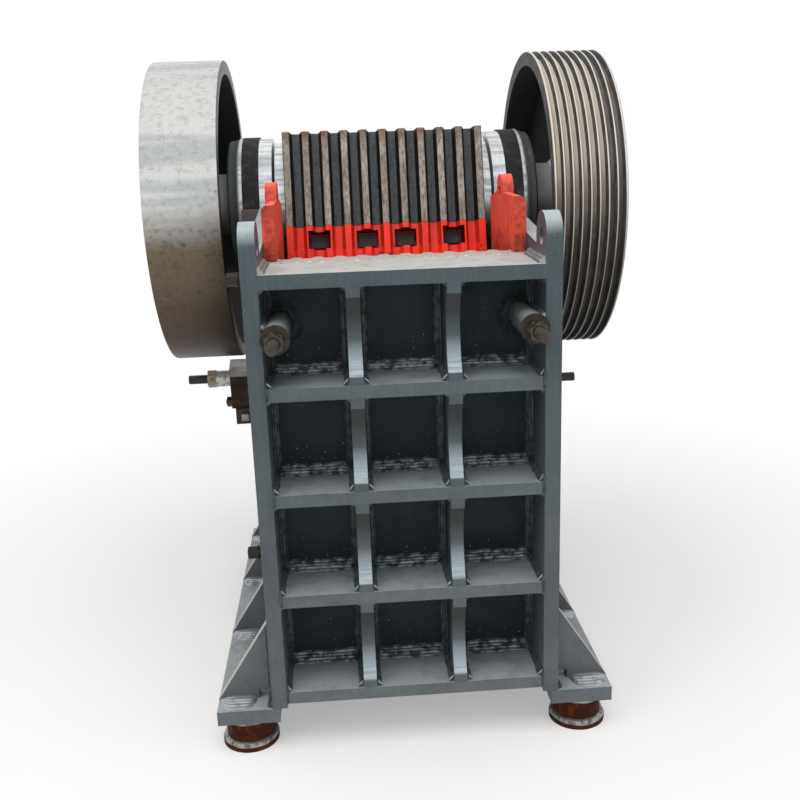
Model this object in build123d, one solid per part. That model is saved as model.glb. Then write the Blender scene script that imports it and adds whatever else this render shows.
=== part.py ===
from build123d import *
import math
import os

os.makedirs("parts", exist_ok=True)

# Jaw crusher in millimetres, +Z up, standing on the floor at Z = 0.
# X runs along the shaft (pulley side positive) and Y runs from the front wall to the rear.
# While modelling, Y is counted from the front plane. save() then moves each piece so that
# Y = 0 is the middle of the whole machine, tie rod ends to wheel backs.

# Layout along Y: the gape sets the swing jaw, the jaw sets the shaft, the shaft the frame's end
FIXED_CREST_Y = 224.0
GAPE = 257.5
AXIS_BEHIND = 208.5
REAR_REACH = 180.0
JOINT_Y = FIXED_CREST_Y + GAPE
AXIS_Y = JOINT_Y + AXIS_BEHIND
FRAME_LEN = AXIS_Y + REAR_REACH

# Frame
HALF_W = 266.5
SIDE_T = 28.0
INNER = HALF_W - SIDE_T
TOP_Z = 890.0
FLANGE_T = 25.0
SEAT_GAP = 0.3
MOVE_GAP = 5.0

# Feet
FOOT_TOP = 89.0
FOOT_T = 28.0
FOOT_IN = 254.0
FOOT_OUT = 369.0
PIPE_R = 44.5
PIPE_BORE = 38.0
PIPE_X = 315.0
PIPE_Y = 53.0
RING_R = 53.0
RING_H = 9.0
ANCHOR_R = 13.0
GUSSET_T = 20.0
GUSSET_Y = 42.0
GUSSET_TOP = 240.0
GUSSET_TOE = 26.0
MOUSE_HOLE = 18.0

# Front wall
BACK_Y = 118.0
WALL_T = 33.0
JAW_SEAT_Y = BACK_Y + WALL_T
RIB_T = 23.0
RIB_TOPS = (697.0, 506.0, 314.0, 121.0)
STIFF_T = 24.0
STIFF_X = 84.0
STIFF_SAG = 24.0
STIFF_STEP = 4.0
LAND_TOP = 18.0
LAND_BOTTOM = 14.0

# Ears
EAR_R = 42.0
EAR_Z = 932.0
EAR_HOLE_R = 15.0
SHOULDER_Z = 963.0
SHOULDER_FRONT_Z = 916.0
SHOULDER_REAR_Z = 900.0

# Main shaft, bearings and wheels
AXIS_Z = 944.0
ECC = 10.0
JOURNAL_R = 50.0
ECC_R = 66.0
RUN = 0.05
HOUSING_R = 160.0
FLANGE_R = 163.0
FLANGE_OUT = 310.0
RING_OUT = 320.0
COVER_OUT = 334.7
SEAT_TIP = 172.0
SEAT_RISE = 16.0
SEAT_FRONT = 188.0
SEAT_REAR = 176.0
SEAT_SIDE = 44.0
SEAT_BASE = 120.0
SEAT_DROP = 184.0
WHEEL_R = 328.5
WHEEL_IN = 333.0
WHEEL_W = 150.5
RIM_T = 30.0
RIM_R = WHEEL_R - RIM_T
RIM_CHAMFER = 2.0
WEB_IN = 398.0
WEB_T = 26.0
HUB_R = 85.0
HUB_IN = 340.0
HUB_OUT = 478.0
SEAT_R = 47.5
SHAFT_END = 512.0
NUT_R = 40.0
NUT_OUT_R = 62.0
NUT_W = 22.0
GROOVES = 8
GROOVE_PITCH = 18.0
GROOVE_DEPTH = 12.0
GROOVE_LAND = 2.6

# Jaws
PITCH = 40.6
TOOTH_H = 20.0
CREST_W = 13.0
VALLEY_W = 15.0
JAW_BOTTOM = 240.0
LEAN = math.radians(15.7)
JOINT_Z = 924.8
JAW_HALF = 210.9
JAW_T = 62.0
UPPER_LEN = 199.0
LOWER_LEN = 711.0
WINDOW_S = 30.0
WINDOW_W = 46.0
WINDOW_H = 38.0
LIP_T = 26.0
FACE_T = 40.0
POCKET_FOOT = 150.0
POCKET_HEAD = 130.0
PITMAN_RIB = 24.0
PITMAN_RIB_X = 50.0
BARREL_R = HOUSING_R - 10
BARREL_END = 233.0

# Cheeks
CHEEK_T = 22.2
CHEEK_IN = INNER - SEAT_GAP - CHEEK_T
CHEEK_SPLIT = 560.0
CHEEK_FRONT = FIXED_CREST_Y - 52
CHEEK_TOP = 990.0
CHEEK_REAR = JOINT_Y - 35.5
CHEEK_REAR_TOP = 973.0
LUG_Y = FIXED_CREST_Y + 107
LUG_R = 33.0
LUG_HOLE_R = 12.0
BOLT_R = 8.0
BOLT_NUT_R = 13.9
BOLT_Y = FIXED_CREST_Y + 76
BOLT_ZS = (843.0, 270.5)
BOLT_BOSS = 33.0
BOLT_WASHER = 4.0
BOLT_NUT_W = 19.0

# Rear wall and adjusting wedges
REAR_T = 28.0
REAR_RIB = 42.0
REAR_Y = FRAME_LEN - REAR_RIB - REAR_T
REAR_Z1 = 780.0
REAR_FOOT = 60.0
REAR_RIB_STEP = 207.0
REAR_TOP_RIB = 757.0
WEDGE_Y = 52.0
WEDGE_THIN = 14.0
BLOCK_BACK = REAR_Y - WEDGE_Y
BLOCK_T = 64.0
BLOCK_Z0 = 350.0
BOX_WALL = 9.0
BOX_NOSE = 58.0
BOX_TAIL = 20.0
BOX_Y0 = BLOCK_BACK - BOX_NOSE
BOX_Y1 = REAR_Y + BOX_TAIL
BOX_Z0 = 477.0
BOX_Z1 = 556.0
BOX_OUT = 379.0
COVER_T = 14.0
COVER_LIP = 1.0
COVER_FLARE = 10.0
SCREW_R = 11.0
SCREW_NUT_R = 22.0
SCREW_NUT_W = 22.0
SLEEVE_OUT = 42.0
SCREW_Y = BLOCK_BACK + 18.0
SCREW_LEFT = (531.0, 490.0)
SCREW_RIGHT = (497.0, 476.0)

# Toggle and tension rod. The swing jaw's groove and pin lie ECC below their mates at rest,
# where the eccentric stands at the bottom of its circle, so they circle around them.
TOGGLE_R = 15.0
TOGGLE_HALF = 130.0
TOGGLE_S = 113.3
TOGGLE_T = 212.1
TOGGLE_RISE = 128.0
SEAT_LEN = 300.0
SEAT_BLOCK = 62.0
SEAT_H = 90.0
PIN_LUG_R = 24.0
PIN_LUG_X = 29.0
PIN_LUG_T = 18.0
ROD_R = 11.0
PIN_R = 12.0
EYE_R = 44.0
EYE_BORE = PIN_R + ECC + MOVE_GAP + 1
PIN_S = 12.0
PIN_T = 265.5
SPRING_R = 24.0
SPRING_WIRE = 5.5
SPRING_LEN = 90.0
SPRING_PITCH = 18.0
ROD_PAST = 106.0

# Tie bolts
TIE_X = 215.0
TIE_Z = 787.0
TIE_R = 10.0
TIE_REACH = 106.0
TIE_DEPTH = 29.0
TIE_NUT_R = 17.3
TIE_NUT_W = 16.0
WASHER_R = 25.0
WASHER_W = 8.0
SLEEVE_FRONT = 22.0
MID_Y = (AXIS_Y + WHEEL_R - TIE_REACH) / 2
SLEEVE_R = 22.8


def block(x0, x1, y0, y1, z0, z1):
    """A box between two corners."""
    centre = Pos((x0 + x1) / 2, (y0 + y1) / 2, (z0 + z1) / 2)
    return centre * Box(x1 - x0, y1 - y0, z1 - z0)


def side_plate(points, x0, x1):
    """A plate with a YZ outline, from x0 to x1."""
    face = Plane.YZ.offset(x0) * Polygon(*points, align=None)
    return extrude(face, amount=x1 - x0, dir=(1, 0, 0))


def cross_plate(points, y0, y1):
    """A plate with an XZ outline, from y0 to y1."""
    face = Plane.XZ.offset(-y0) * Polygon(*points, align=None)
    return extrude(face, amount=y1 - y0, dir=(0, 1, 0))


def x_rod(radius, x0, x1, y, z):
    """A round bar along X."""
    return Pos((x0 + x1) / 2, y, z) * Rot(0, 90, 0) * Cylinder(radius, x1 - x0)


def y_rod(radius, x, z, y0, y1):
    """A round bar along Y."""
    return Pos(x, (y0 + y1) / 2, z) * Rot(90, 0, 0) * Cylinder(radius, y1 - y0)


def turned(profile, y, z):
    """A body of revolution about an X axis through (y, z), from (x, radius) points."""
    face = Plane.XY * Polygon(*profile, align=None)
    return Pos(0, y, z) * revolve(face, Axis.X, 360)


def mirrored(shape):
    """The same piece on the flywheel side."""
    return mirror(shape, about=Plane.YZ)


def jaw_point(s, t):
    """Y and Z of a point s along the swing jaw face and t behind its tooth crests."""
    y = JOINT_Y + s * math.sin(LEAN) + t * math.cos(LEAN)
    z = JOINT_Z + s * math.cos(LEAN) - t * math.sin(LEAN)
    return (y, z)


def pack_node(*solids):
    """One node made of solids that don't touch each other."""
    return Compound(children=[s for s in solids])


def save(name, shape):
    """Writes one node, moved so that Y = 0 is the middle of the machine."""
    moved = Pos(0, -MID_Y, 0) * shape
    export_step(moved, f"parts/{name}.step")


# Front wall
wall = block(-INNER, INNER, BACK_Y, JAW_SEAT_Y - SEAT_GAP, FOOT_TOP, TOP_Z - FLANGE_T)
for side in (-1, 1):
    wall -= y_rod(TIE_R + SEAT_GAP, side * TIE_X, TIE_Z, BACK_Y - 5, JAW_SEAT_Y + 5)
save("front_wall_plate", wall)
flange = block(-INNER, INNER, 0, JAW_SEAT_Y - SEAT_GAP, TOP_Z - FLANGE_T, TOP_Z)
save("front_top_flange", flange)
ribs = [block(-INNER, INNER, 0, BACK_Y, z - RIB_T, z) for z in RIB_TOPS]
save("front_ribs", pack_node(*ribs))

stiffeners = []
cell_tops = (TOP_Z - FLANGE_T,) + tuple(z - RIB_T for z in RIB_TOPS[:-1])
for top, bottom in zip(cell_tops, RIB_TOPS):
    middle = (top + bottom) / 2
    with BuildSketch(Plane.YZ) as outline:
        with BuildLine():
            Polyline(
                (STIFF_STEP, bottom + LAND_BOTTOM),
                (0, bottom + LAND_BOTTOM),
                (0, bottom),
                (BACK_Y, bottom),
                (BACK_Y, top),
                (0, top),
                (0, top - LAND_TOP),
                (STIFF_STEP, top - LAND_TOP),
            )
            ThreePointArc(
                (STIFF_STEP, top - LAND_TOP),
                (STIFF_SAG, middle),
                (STIFF_STEP, bottom + LAND_BOTTOM),
            )
        make_face()
    for x in (-STIFF_X, STIFF_X):
        piece = extrude(outline.sketch, amount=STIFF_T, dir=(1, 0, 0))
        stiffeners.append(Pos(x - STIFF_T / 2, 0, 0) * piece)
save("front_stiffeners", pack_node(*stiffeners))

# Side walls with ears and the half-round bearing seats
wall_points = [
    (0, FOOT_TOP),
    (FRAME_LEN, FOOT_TOP),
    (FRAME_LEN, SHOULDER_REAR_Z),
    (AXIS_Y + HOUSING_R + 10, SHOULDER_Z),
    (AXIS_Y - HOUSING_R - 4, SHOULDER_Z),
    (2 * EAR_R, SHOULDER_FRONT_Z),
    (2 * EAR_R, EAR_Z),
    (0, EAR_Z),
]
side_wall = side_plate(wall_points, INNER, HALF_W)
side_wall += x_rod(EAR_R, INNER, HALF_W, EAR_R, EAR_Z)
side_wall -= x_rod(EAR_HOLE_R, INNER - 5, HALF_W + 5, EAR_R, EAR_Z)
side_wall -= x_rod(HOUSING_R + SEAT_GAP, INNER - 5, HALF_W + 5, AXIS_Y, AXIS_Z)
side_wall -= block(INNER - 5, HALF_W + 5, BLOCK_BACK, REAR_Y + 2, BOX_Z0, BOX_Z1)
for z in BOLT_ZS:
    side_wall -= x_rod(BOLT_R + SEAT_GAP, INNER - 5, HALF_W + 5, BOLT_Y, z)
save("side_wall_right", side_wall)
save("side_wall_left", mirrored(side_wall))

# Feet
foot = block(FOOT_IN, FOOT_OUT, 0, FRAME_LEN, FOOT_TOP - FOOT_T, FOOT_TOP)
for y in (PIPE_Y, FRAME_LEN - PIPE_Y):
    hole = Pos(PIPE_X, y, FOOT_TOP - FOOT_T / 2) * Cylinder(ANCHOR_R, FOOT_T + 10)
    foot -= hole
save("foot_plates", pack_node(foot, mirrored(foot)))

gussets = []
gusset_step = (FRAME_LEN - 2 * GUSSET_Y - GUSSET_T) / 3
for k in range(4):
    y0 = GUSSET_Y + k * gusset_step
    points = [
        (HALF_W + GUSSET_TOE, FOOT_TOP),
        (FOOT_OUT + 1, FOOT_TOP),
        (HALF_W + 6, GUSSET_TOP),
        (HALF_W, GUSSET_TOP),
        (HALF_W, FOOT_TOP + MOUSE_HOLE),
        (HALF_W + GUSSET_TOE, FOOT_TOP + MOUSE_HOLE),
    ]
    gussets.append(cross_plate(points, y0, y0 + GUSSET_T))
save("foot_gussets", pack_node(*gussets, *[mirrored(g) for g in gussets]))

pipes = []
for x in (-PIPE_X, PIPE_X):
    for y in (PIPE_Y, FRAME_LEN - PIPE_Y):
        pipe = Pos(x, y, (FOOT_TOP - FOOT_T) / 2) * Cylinder(PIPE_R, FOOT_TOP - FOOT_T)
        pipe += Pos(x, y, RING_H / 2) * Cylinder(RING_R, RING_H)
        pipe -= Pos(x, y, FOOT_TOP / 2) * Cylinder(PIPE_BORE, 2 * FOOT_TOP)
        pipes.append(pipe)
save("pipe_feet", pack_node(*pipes))

# Rear wall
pin_y, pin_z = jaw_point(-LOWER_LEN + PIN_S, PIN_T)
rod_z = pin_z + ECC
rear_z0 = rod_z - REAR_FOOT
rear = block(-INNER, INNER, REAR_Y, REAR_Y + REAR_T, rear_z0, REAR_Z1)
rear -= y_rod(ROD_R + SEAT_GAP, 0, rod_z, REAR_Y - 5, REAR_Y + REAR_T + 5)
save("rear_wall_plate", rear)
rear_ribs = []
for z in (rear_z0, REAR_TOP_RIB - 2 * REAR_RIB_STEP, REAR_TOP_RIB - REAR_RIB_STEP, REAR_TOP_RIB):
    rear_ribs.append(block(-INNER, INNER, REAR_Y + REAR_T, FRAME_LEN, z, z + RIB_T))
save("rear_ribs", pack_node(*rear_ribs))


# Jaw plates
def corrugated(half_width, base, centres, length):
    """A jaw plate lying along Z, its tooth crests at Y = 0 and its back at Y = base + TOOTH_H."""
    ramp = (PITCH - CREST_W - VALLEY_W) / 2
    points = [(-half_width, base + TOOTH_H), (half_width, base + TOOTH_H)]
    profile = []
    for c in sorted(centres):
        profile.append((c - CREST_W / 2 - ramp, TOOTH_H))
        profile.append((c - CREST_W / 2, 0))
        profile.append((c + CREST_W / 2, 0))
        profile.append((c + CREST_W / 2 + ramp, TOOTH_H))
    inside = [p for p in profile if abs(p[0]) < half_width - 0.5]
    left_y = inside[0][1]
    right_y = inside[-1][1]
    front = [(half_width, right_y)] + list(reversed(inside)) + [(-half_width, left_y)]
    face = Plane.XY * Polygon(*(points + front), align=None)
    return extrude(face, amount=length, dir=(0, 0, 1))


swing_centres = [PITCH * k for k in range(-5, 6)]
fixed_centres = [PITCH * (k + 0.5) for k in range(-6, 6)]
fixed_base = FIXED_CREST_Y - JAW_SEAT_Y - TOOTH_H
fixed = corrugated(INNER - SEAT_GAP, fixed_base, fixed_centres, TOP_Z - JAW_BOTTOM)
fixed = Pos(0, FIXED_CREST_Y, JAW_BOTTOM) * Rot(0, 0, 180) * fixed
for side in (-1, 1):
    depth = JAW_SEAT_Y + TIE_DEPTH + SEAT_GAP
    fixed -= y_rod(TIE_R + SEAT_GAP, side * TIE_X, TIE_Z, JAW_SEAT_Y - 5, depth)
save("fixed_jaw_plate", fixed)

# Swing jaw
y0, z0 = jaw_point(0, 0)
tilt = Pos(0, y0, z0) * Rot(-math.degrees(LEAN), 0, 0)
window_xs = (-3.5 * PITCH, -PITCH, PITCH, 3.5 * PITCH)
plate_base = JAW_T - TOOTH_H
upper = corrugated(JAW_HALF, plate_base, swing_centres, UPPER_LEN - 0.5)
save("jaw_plate_upper", tilt * Pos(0, 0, 0.5) * upper)
lower = tilt * Pos(0, 0, -LOWER_LEN) * corrugated(JAW_HALF, plate_base, swing_centres, LOWER_LEN)
bolts = []
for x in window_xs:
    lower -= tilt * Pos(x, JAW_T / 2 - 6, -WINDOW_S) * Box(WINDOW_W, JAW_T - 12, WINDOW_H)
    lower -= tilt * Pos(x, JAW_T - 10, -WINDOW_S) * Rot(90, 0, 0) * Cylinder(PIN_R + SEAT_GAP, 60)
    head = tilt * Pos(x, JAW_T - 19.3, -WINDOW_S) * Box(WINDOW_W - 8, 14, WINDOW_H - 12)
    stem = tilt * Pos(x, JAW_T + 20, -WINDOW_S) * Rot(90, 0, 0) * Cylinder(PIN_R, 72)
    bolts.append(head + stem)
save("jaw_plate_lower", lower)
save("jaw_bolts", pack_node(*bolts))

# Pitman: a barrel around the eccentric, a face plate behind the jaw plates and four ribs
axis_y = AXIS_Y
axis_z = AXIS_Z - ECC
body_points = [
    jaw_point(-LOWER_LEN - 0.5, JAW_T),
    jaw_point(-LOWER_LEN - LIP_T, JAW_T),
    jaw_point(-LOWER_LEN - LIP_T, JAW_T + 60),
    jaw_point(-LOWER_LEN + 40, JAW_T + 120),
    jaw_point(-100, JAW_T + 190),
    jaw_point(65, JAW_T + 250),
    jaw_point(UPPER_LEN - 9, JAW_T + 60),
    jaw_point(UPPER_LEN - 9, JAW_T),
]
lip_points = [
    jaw_point(-LOWER_LEN - 0.5, 10),
    jaw_point(-LOWER_LEN - 0.5, JAW_T + 1),
    jaw_point(-LOWER_LEN - LIP_T, JAW_T + 1),
    jaw_point(-LOWER_LEN - LIP_T, 24),
]
pocket_points = [
    jaw_point(-LOWER_LEN + POCKET_FOOT, JAW_T + FACE_T),
    jaw_point(-LOWER_LEN + POCKET_FOOT, JAW_T + 400),
    jaw_point(-POCKET_HEAD, JAW_T + 400),
    jaw_point(-POCKET_HEAD, JAW_T + FACE_T),
]
body = side_plate(body_points, -JAW_HALF, JAW_HALF)
ribs = []
for x0, x1 in ((JAW_HALF - PITMAN_RIB, JAW_HALF), (PITMAN_RIB_X, PITMAN_RIB_X + PITMAN_RIB)):
    rib = side_plate(body_points, x0, x1) & side_plate(pocket_points, x0, x1)
    ribs += [rib, mirrored(rib)]
save("pitman_ribs", pack_node(*ribs))

barrel = x_rod(BARREL_R, -JAW_HALF, JAW_HALF, axis_y, axis_z)
front_y, front_z = jaw_point(0, JAW_T - HOUSING_R)
front_box = Box(4 * HALF_W, 2 * HOUSING_R, 2 * TOP_Z)
front_cut = Pos(0, front_y, front_z) * Rot(-math.degrees(LEAN), 0, 0) * front_box
pitman = body + barrel - front_cut + side_plate(lip_points, -JAW_HALF, JAW_HALF)
pitman -= side_plate(pocket_points, -JAW_HALF - 1, JAW_HALF + 1)
pitman -= x_rod(ECC_R + RUN, -INNER, INNER, axis_y, axis_z)
for x in window_xs:
    pitman -= tilt * Pos(x, JAW_T + 20, -WINDOW_S) * Rot(90, 0, 0) * Cylinder(PIN_R + SEAT_GAP, 90)

# Toggle seat in the swing jaw, and the lugs that carry the tension pin
seat_y, seat_z = jaw_point(-LOWER_LEN + TOGGLE_S, TOGGLE_T)
toggle_front = (seat_y, seat_z + ECC)
toggle_rear = (BLOCK_BACK - BLOCK_T, seat_z + ECC + TOGGLE_RISE)
toggle_dir = math.atan2(toggle_rear[1] - toggle_front[1], toggle_rear[0] - toggle_front[0])
groove_r = TOGGLE_R + ECC + MOVE_GAP + 0.6
seat_frame = Pos(0, seat_y, seat_z) * Rot(math.degrees(toggle_dir), 0, 0)
seat = seat_frame * Pos(0, -SEAT_BLOCK / 2 - 3, 0) * Box(SEAT_LEN, SEAT_BLOCK, SEAT_H)
seat -= x_rod(groove_r, -SEAT_LEN, SEAT_LEN, seat_y, seat_z)
save("toggle_seat_front", seat)
seat_pocket = seat_frame * Pos(0, 100 - SEAT_BLOCK - 3, 0) * Box(SEAT_LEN + 1, 200, SEAT_H + 0.6)
for side in (-1, 1):
    root_low = jaw_point(-LOWER_LEN - 10, JAW_T + 20)
    root_high = jaw_point(-LOWER_LEN + 70, JAW_T + 100)
    tip_low = (pin_y, pin_z - PIN_LUG_R)
    tip_high = (pin_y, pin_z + PIN_LUG_R)
    x0 = side * PIN_LUG_X - PIN_LUG_T / 2
    x1 = side * PIN_LUG_X + PIN_LUG_T / 2
    pitman += side_plate([root_low, tip_low, tip_high, root_high], x0, x1)
    pitman += x_rod(PIN_LUG_R, x0, x1, pin_y, pin_z)
pitman -= seat_pocket
pitman -= x_rod(PIN_R, -60, 60, pin_y, pin_z)
save("pitman", pitman)
save("tension_pin", x_rod(PIN_R, -46, 46, pin_y, pin_z))
ring_profile = [
    (JAW_HALF, ECC_R + 6),
    (BARREL_END, ECC_R + 6),
    (BARREL_END, BARREL_R + 9),
    (JAW_HALF, BARREL_R + 9),
]
ring = turned(ring_profile, axis_y, axis_z)
save("barrel_rings", pack_node(ring, mirrored(ring)))

# Toggle plate and the block behind it
toggle_len = math.dist(toggle_front, toggle_rear)
middle_y = (toggle_front[0] + toggle_rear[0]) / 2
middle_z = (toggle_front[1] + toggle_rear[1]) / 2
toggle_frame = Pos(0, middle_y, middle_z) * Rot(math.degrees(toggle_dir), 0, 0)
toggle = toggle_frame * Box(2 * TOGGLE_HALF, toggle_len, 2 * TOGGLE_R)
toggle += x_rod(TOGGLE_R, -TOGGLE_HALF, TOGGLE_HALF, *toggle_front)
toggle += x_rod(TOGGLE_R, -TOGGLE_HALF, TOGGLE_HALF, *toggle_rear)
save("toggle_plate", toggle)
block_x = INNER - SEAT_GAP
rear_block = block(-block_x, block_x, toggle_rear[0], BLOCK_BACK - SEAT_GAP, BLOCK_Z0, BOX_Z1)
rear_block -= x_rod(TOGGLE_R + SEAT_GAP, -INNER, INNER, *toggle_rear)
rear_frame = Pos(0, *toggle_rear) * Rot(math.degrees(toggle_dir), 0, 0)
rear_block -= rear_frame * Pos(0, -BLOCK_T, 0) * Box(3 * INNER, 2 * BLOCK_T, 2 * SEAT_H)
save("toggle_block", rear_block)

# Two wedges that slide past each other set the gap of the jaws. Each has a screw at one side.
wedge_x = BOX_OUT - BOX_WALL - 1
wedge_front = BLOCK_BACK + SEAT_GAP
wedge_back = REAR_Y - SEAT_GAP
wedge_z0 = BOX_Z0 + 2
wedge_height = BOX_Z1 - BOX_Z0 - 4
front_outline = [
    (-wedge_x, wedge_front),
    (wedge_x, wedge_front),
    (wedge_x, wedge_back - WEDGE_THIN - SEAT_GAP),
    (-wedge_x, wedge_front + WEDGE_THIN),
]
back_outline = [
    (-wedge_x, wedge_front + WEDGE_THIN + SEAT_GAP),
    (wedge_x, wedge_back - WEDGE_THIN),
    (wedge_x, wedge_back),
    (-wedge_x, wedge_back),
]
wedges = []
for outline in (front_outline, back_outline):
    face = Plane.XY.offset(wedge_z0) * Polygon(*outline, align=None)
    wedges.append(extrude(face, amount=wedge_height, dir=(0, 0, 1)))
save("adjusting_wedges", pack_node(*wedges))

boxes = []
screws = []
covers = []
for side, (screw_z, screw_end) in ((-1, SCREW_LEFT), (1, SCREW_RIGHT)):
    screw_y = SCREW_Y if side > 0 else wedge_back - SCREW_Y + wedge_front
    box = block(HALF_W, BOX_OUT, BOX_Y0, BOX_Y1, BOX_Z0, BOX_Z1)
    box -= block(HALF_W - 5, BOX_OUT - BOX_WALL, BLOCK_BACK, REAR_Y, BOX_Z0 + 1.5, BOX_Z1 - 1.5)
    box -= x_rod(SCREW_R + SEAT_GAP, BOX_OUT - 20, BOX_OUT + 5, screw_y, screw_z)
    cover_outline = [
        (HALF_W, BOX_Y0 - COVER_LIP),
        (BOX_OUT + COVER_LIP, BOX_Y0 - COVER_LIP),
        (BOX_OUT + COVER_LIP + COVER_FLARE, BOX_Y1 + COVER_LIP),
        (HALF_W, BOX_Y1 + COVER_LIP),
    ]
    cover = Plane.XY.offset(BOX_Z1) * Polygon(*cover_outline, align=None)
    cover = extrude(cover, amount=COVER_T, dir=(0, 0, 1))
    screw = x_rod(SCREW_R, wedge_x + SEAT_GAP, screw_end, screw_y, screw_z)
    if side < 0:
        nut_in = BOX_OUT + SLEEVE_OUT
        screw += x_rod(SCREW_NUT_R - 2, BOX_OUT + SEAT_GAP, nut_in, screw_y, screw_z)
        corner_up = Pos(screw_y, screw_z) * RegularPolygon(SCREW_NUT_R, 6, rotation=90)
        hexagon = Plane.YZ.offset(nut_in) * corner_up
        screw += extrude(hexagon, amount=SCREW_NUT_W, dir=(1, 0, 0))
    pieces = [box, cover, screw]
    if side < 0:
        pieces = [mirrored(piece) for piece in pieces]
    boxes.append(pieces[0])
    covers.append(pieces[1])
    screws.append(pieces[2])
save("wedge_boxes", pack_node(*boxes))
save("wedge_covers", pack_node(*covers))
save("wedge_screws", pack_node(*screws))

# Tension rod with its eye around the swing jaw's pin, spring and flanged nut
rod = y_rod(ROD_R, 0, rod_z, pin_y + (EYE_R + EYE_BORE) / 2, FRAME_LEN + ROD_PAST)
eye = x_rod(EYE_R, -PIN_R, PIN_R, pin_y, rod_z) - x_rod(EYE_BORE, -20, 20, pin_y, rod_z)
save("tension_rod", rod + eye)
spring_y = REAR_Y + REAR_T + SPRING_WIRE + 0.5
spring = Helix(pitch=SPRING_PITCH, height=SPRING_LEN, radius=SPRING_R)
coil = sweep(Plane(origin=spring @ 0, z_dir=spring % 0) * Circle(SPRING_WIRE), path=spring)
save("tension_spring", Pos(0, spring_y, rod_z) * Rot(-90, 0, 0) * coil)
end_y = spring_y + SPRING_LEN + SPRING_WIRE + 0.5
nut = y_rod(SPRING_R + 10, 0, rod_z, end_y, end_y + 8)
hexagon = Plane.XZ.offset(-end_y) * Pos(0, rod_z) * RegularPolygon(18, 6)
nut += extrude(hexagon, amount=25, dir=(0, 1, 0))
nut -= y_rod(ROD_R, 0, rod_z, end_y - 5, end_y + 40)
save("tension_nut", nut)


# Cheek plates
def crest_y(z):
    """Y of the swing jaw's crest plane at a height."""
    return JOINT_Y + (z - JOINT_Z) * math.tan(LEAN)


cheek_front = FIXED_CREST_Y + SEAT_GAP
cheek_out = CHEEK_IN + CHEEK_T
cheek_points = [
    (cheek_front, CHEEK_SPLIT),
    (crest_y(CHEEK_SPLIT), CHEEK_SPLIT),
    (CHEEK_REAR - 8, CHEEK_REAR_TOP - 100),
    (CHEEK_REAR, CHEEK_REAR_TOP),
    (LUG_Y + LUG_R, CHEEK_TOP),
    (CHEEK_FRONT, CHEEK_TOP),
    (CHEEK_FRONT, TOP_Z + SEAT_GAP),
    (cheek_front, TOP_Z + SEAT_GAP),
]
cheek = side_plate(cheek_points, CHEEK_IN, cheek_out)
shoulder = cheek.edges().filter_by(Axis.Y).sort_by(Axis.Z)[-2:].sort_by(Axis.X)[-1]
cheek = fillet(shoulder, CHEEK_T / 2)
cheek += x_rod(LUG_R, CHEEK_IN, cheek_out, LUG_Y, CHEEK_TOP)
cheek -= x_rod(LUG_HOLE_R, CHEEK_IN - 5, INNER + 5, LUG_Y, CHEEK_TOP)
low_points = [
    (cheek_front, JAW_BOTTOM),
    (crest_y(JAW_BOTTOM), JAW_BOTTOM),
    (crest_y(CHEEK_SPLIT - 1), CHEEK_SPLIT - SEAT_GAP),
    (cheek_front, CHEEK_SPLIT - SEAT_GAP),
]
low_cheek = side_plate(low_points, CHEEK_IN, cheek_out)
bolt_hole = x_rod(BOLT_R + SEAT_GAP, CHEEK_IN + CHEEK_T / 3, INNER + 5, BOLT_Y, BOLT_ZS[0])
cheek -= bolt_hole
low_cheek -= Pos(0, 0, BOLT_ZS[1] - BOLT_ZS[0]) * bolt_hole
save("cheek_plates", pack_node(cheek, mirrored(cheek), low_cheek, mirrored(low_cheek)))
cheek_bolts = []
washer_x = HALF_W + BOLT_BOSS
nut_x = washer_x + BOLT_WASHER
for z in BOLT_ZS:
    bolt = x_rod(BOLT_R, CHEEK_IN + CHEEK_T / 3 + SEAT_GAP, nut_x + BOLT_NUT_W + 1, BOLT_Y, z)
    bolt += x_rod(BOLT_NUT_R - 2, HALF_W, washer_x, BOLT_Y, z)
    bolt += x_rod(BOLT_NUT_R + 1, washer_x, nut_x, BOLT_Y, z)
    corner_up = Pos(BOLT_Y, z) * RegularPolygon(BOLT_NUT_R, 6, rotation=90)
    bolt += extrude(Plane.YZ.offset(nut_x) * corner_up, amount=BOLT_NUT_W, dir=(1, 0, 0))
    cheek_bolts += [bolt, mirrored(bolt)]
save("cheek_bolts", pack_node(*cheek_bolts))

# Bearing housings, rings and covers
housing_profile = [
    (INNER, JOURNAL_R + RUN),
    (FLANGE_OUT, JOURNAL_R + RUN),
    (FLANGE_OUT, FLANGE_R),
    (HALF_W + SEAT_GAP, FLANGE_R),
    (HALF_W + SEAT_GAP, HOUSING_R),
    (INNER, HOUSING_R),
]
housing = turned(housing_profile, AXIS_Y, AXIS_Z)
save("bearing_housings", pack_node(housing, mirrored(housing)))
bright_profile = [
    (FLANGE_OUT, JOURNAL_R + 3),
    (RING_OUT, JOURNAL_R + 3),
    (RING_OUT, FLANGE_R - 4.5),
    (FLANGE_OUT, FLANGE_R - 4.5),
]
bright = turned(bright_profile, AXIS_Y, AXIS_Z)
save("bearing_rings", pack_node(bright, mirrored(bright)))
cover_profile = [
    (RING_OUT, JOURNAL_R + 3),
    (COVER_OUT, JOURNAL_R + 3),
    (COVER_OUT, FLANGE_R - 9.5),
    (COVER_OUT - 3, FLANGE_R - 6.5),
    (RING_OUT, FLANGE_R - 6.5),
]
cover = turned(cover_profile, AXIS_Y, AXIS_Z)
save("bearing_covers", pack_node(cover, mirrored(cover)))
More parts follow.
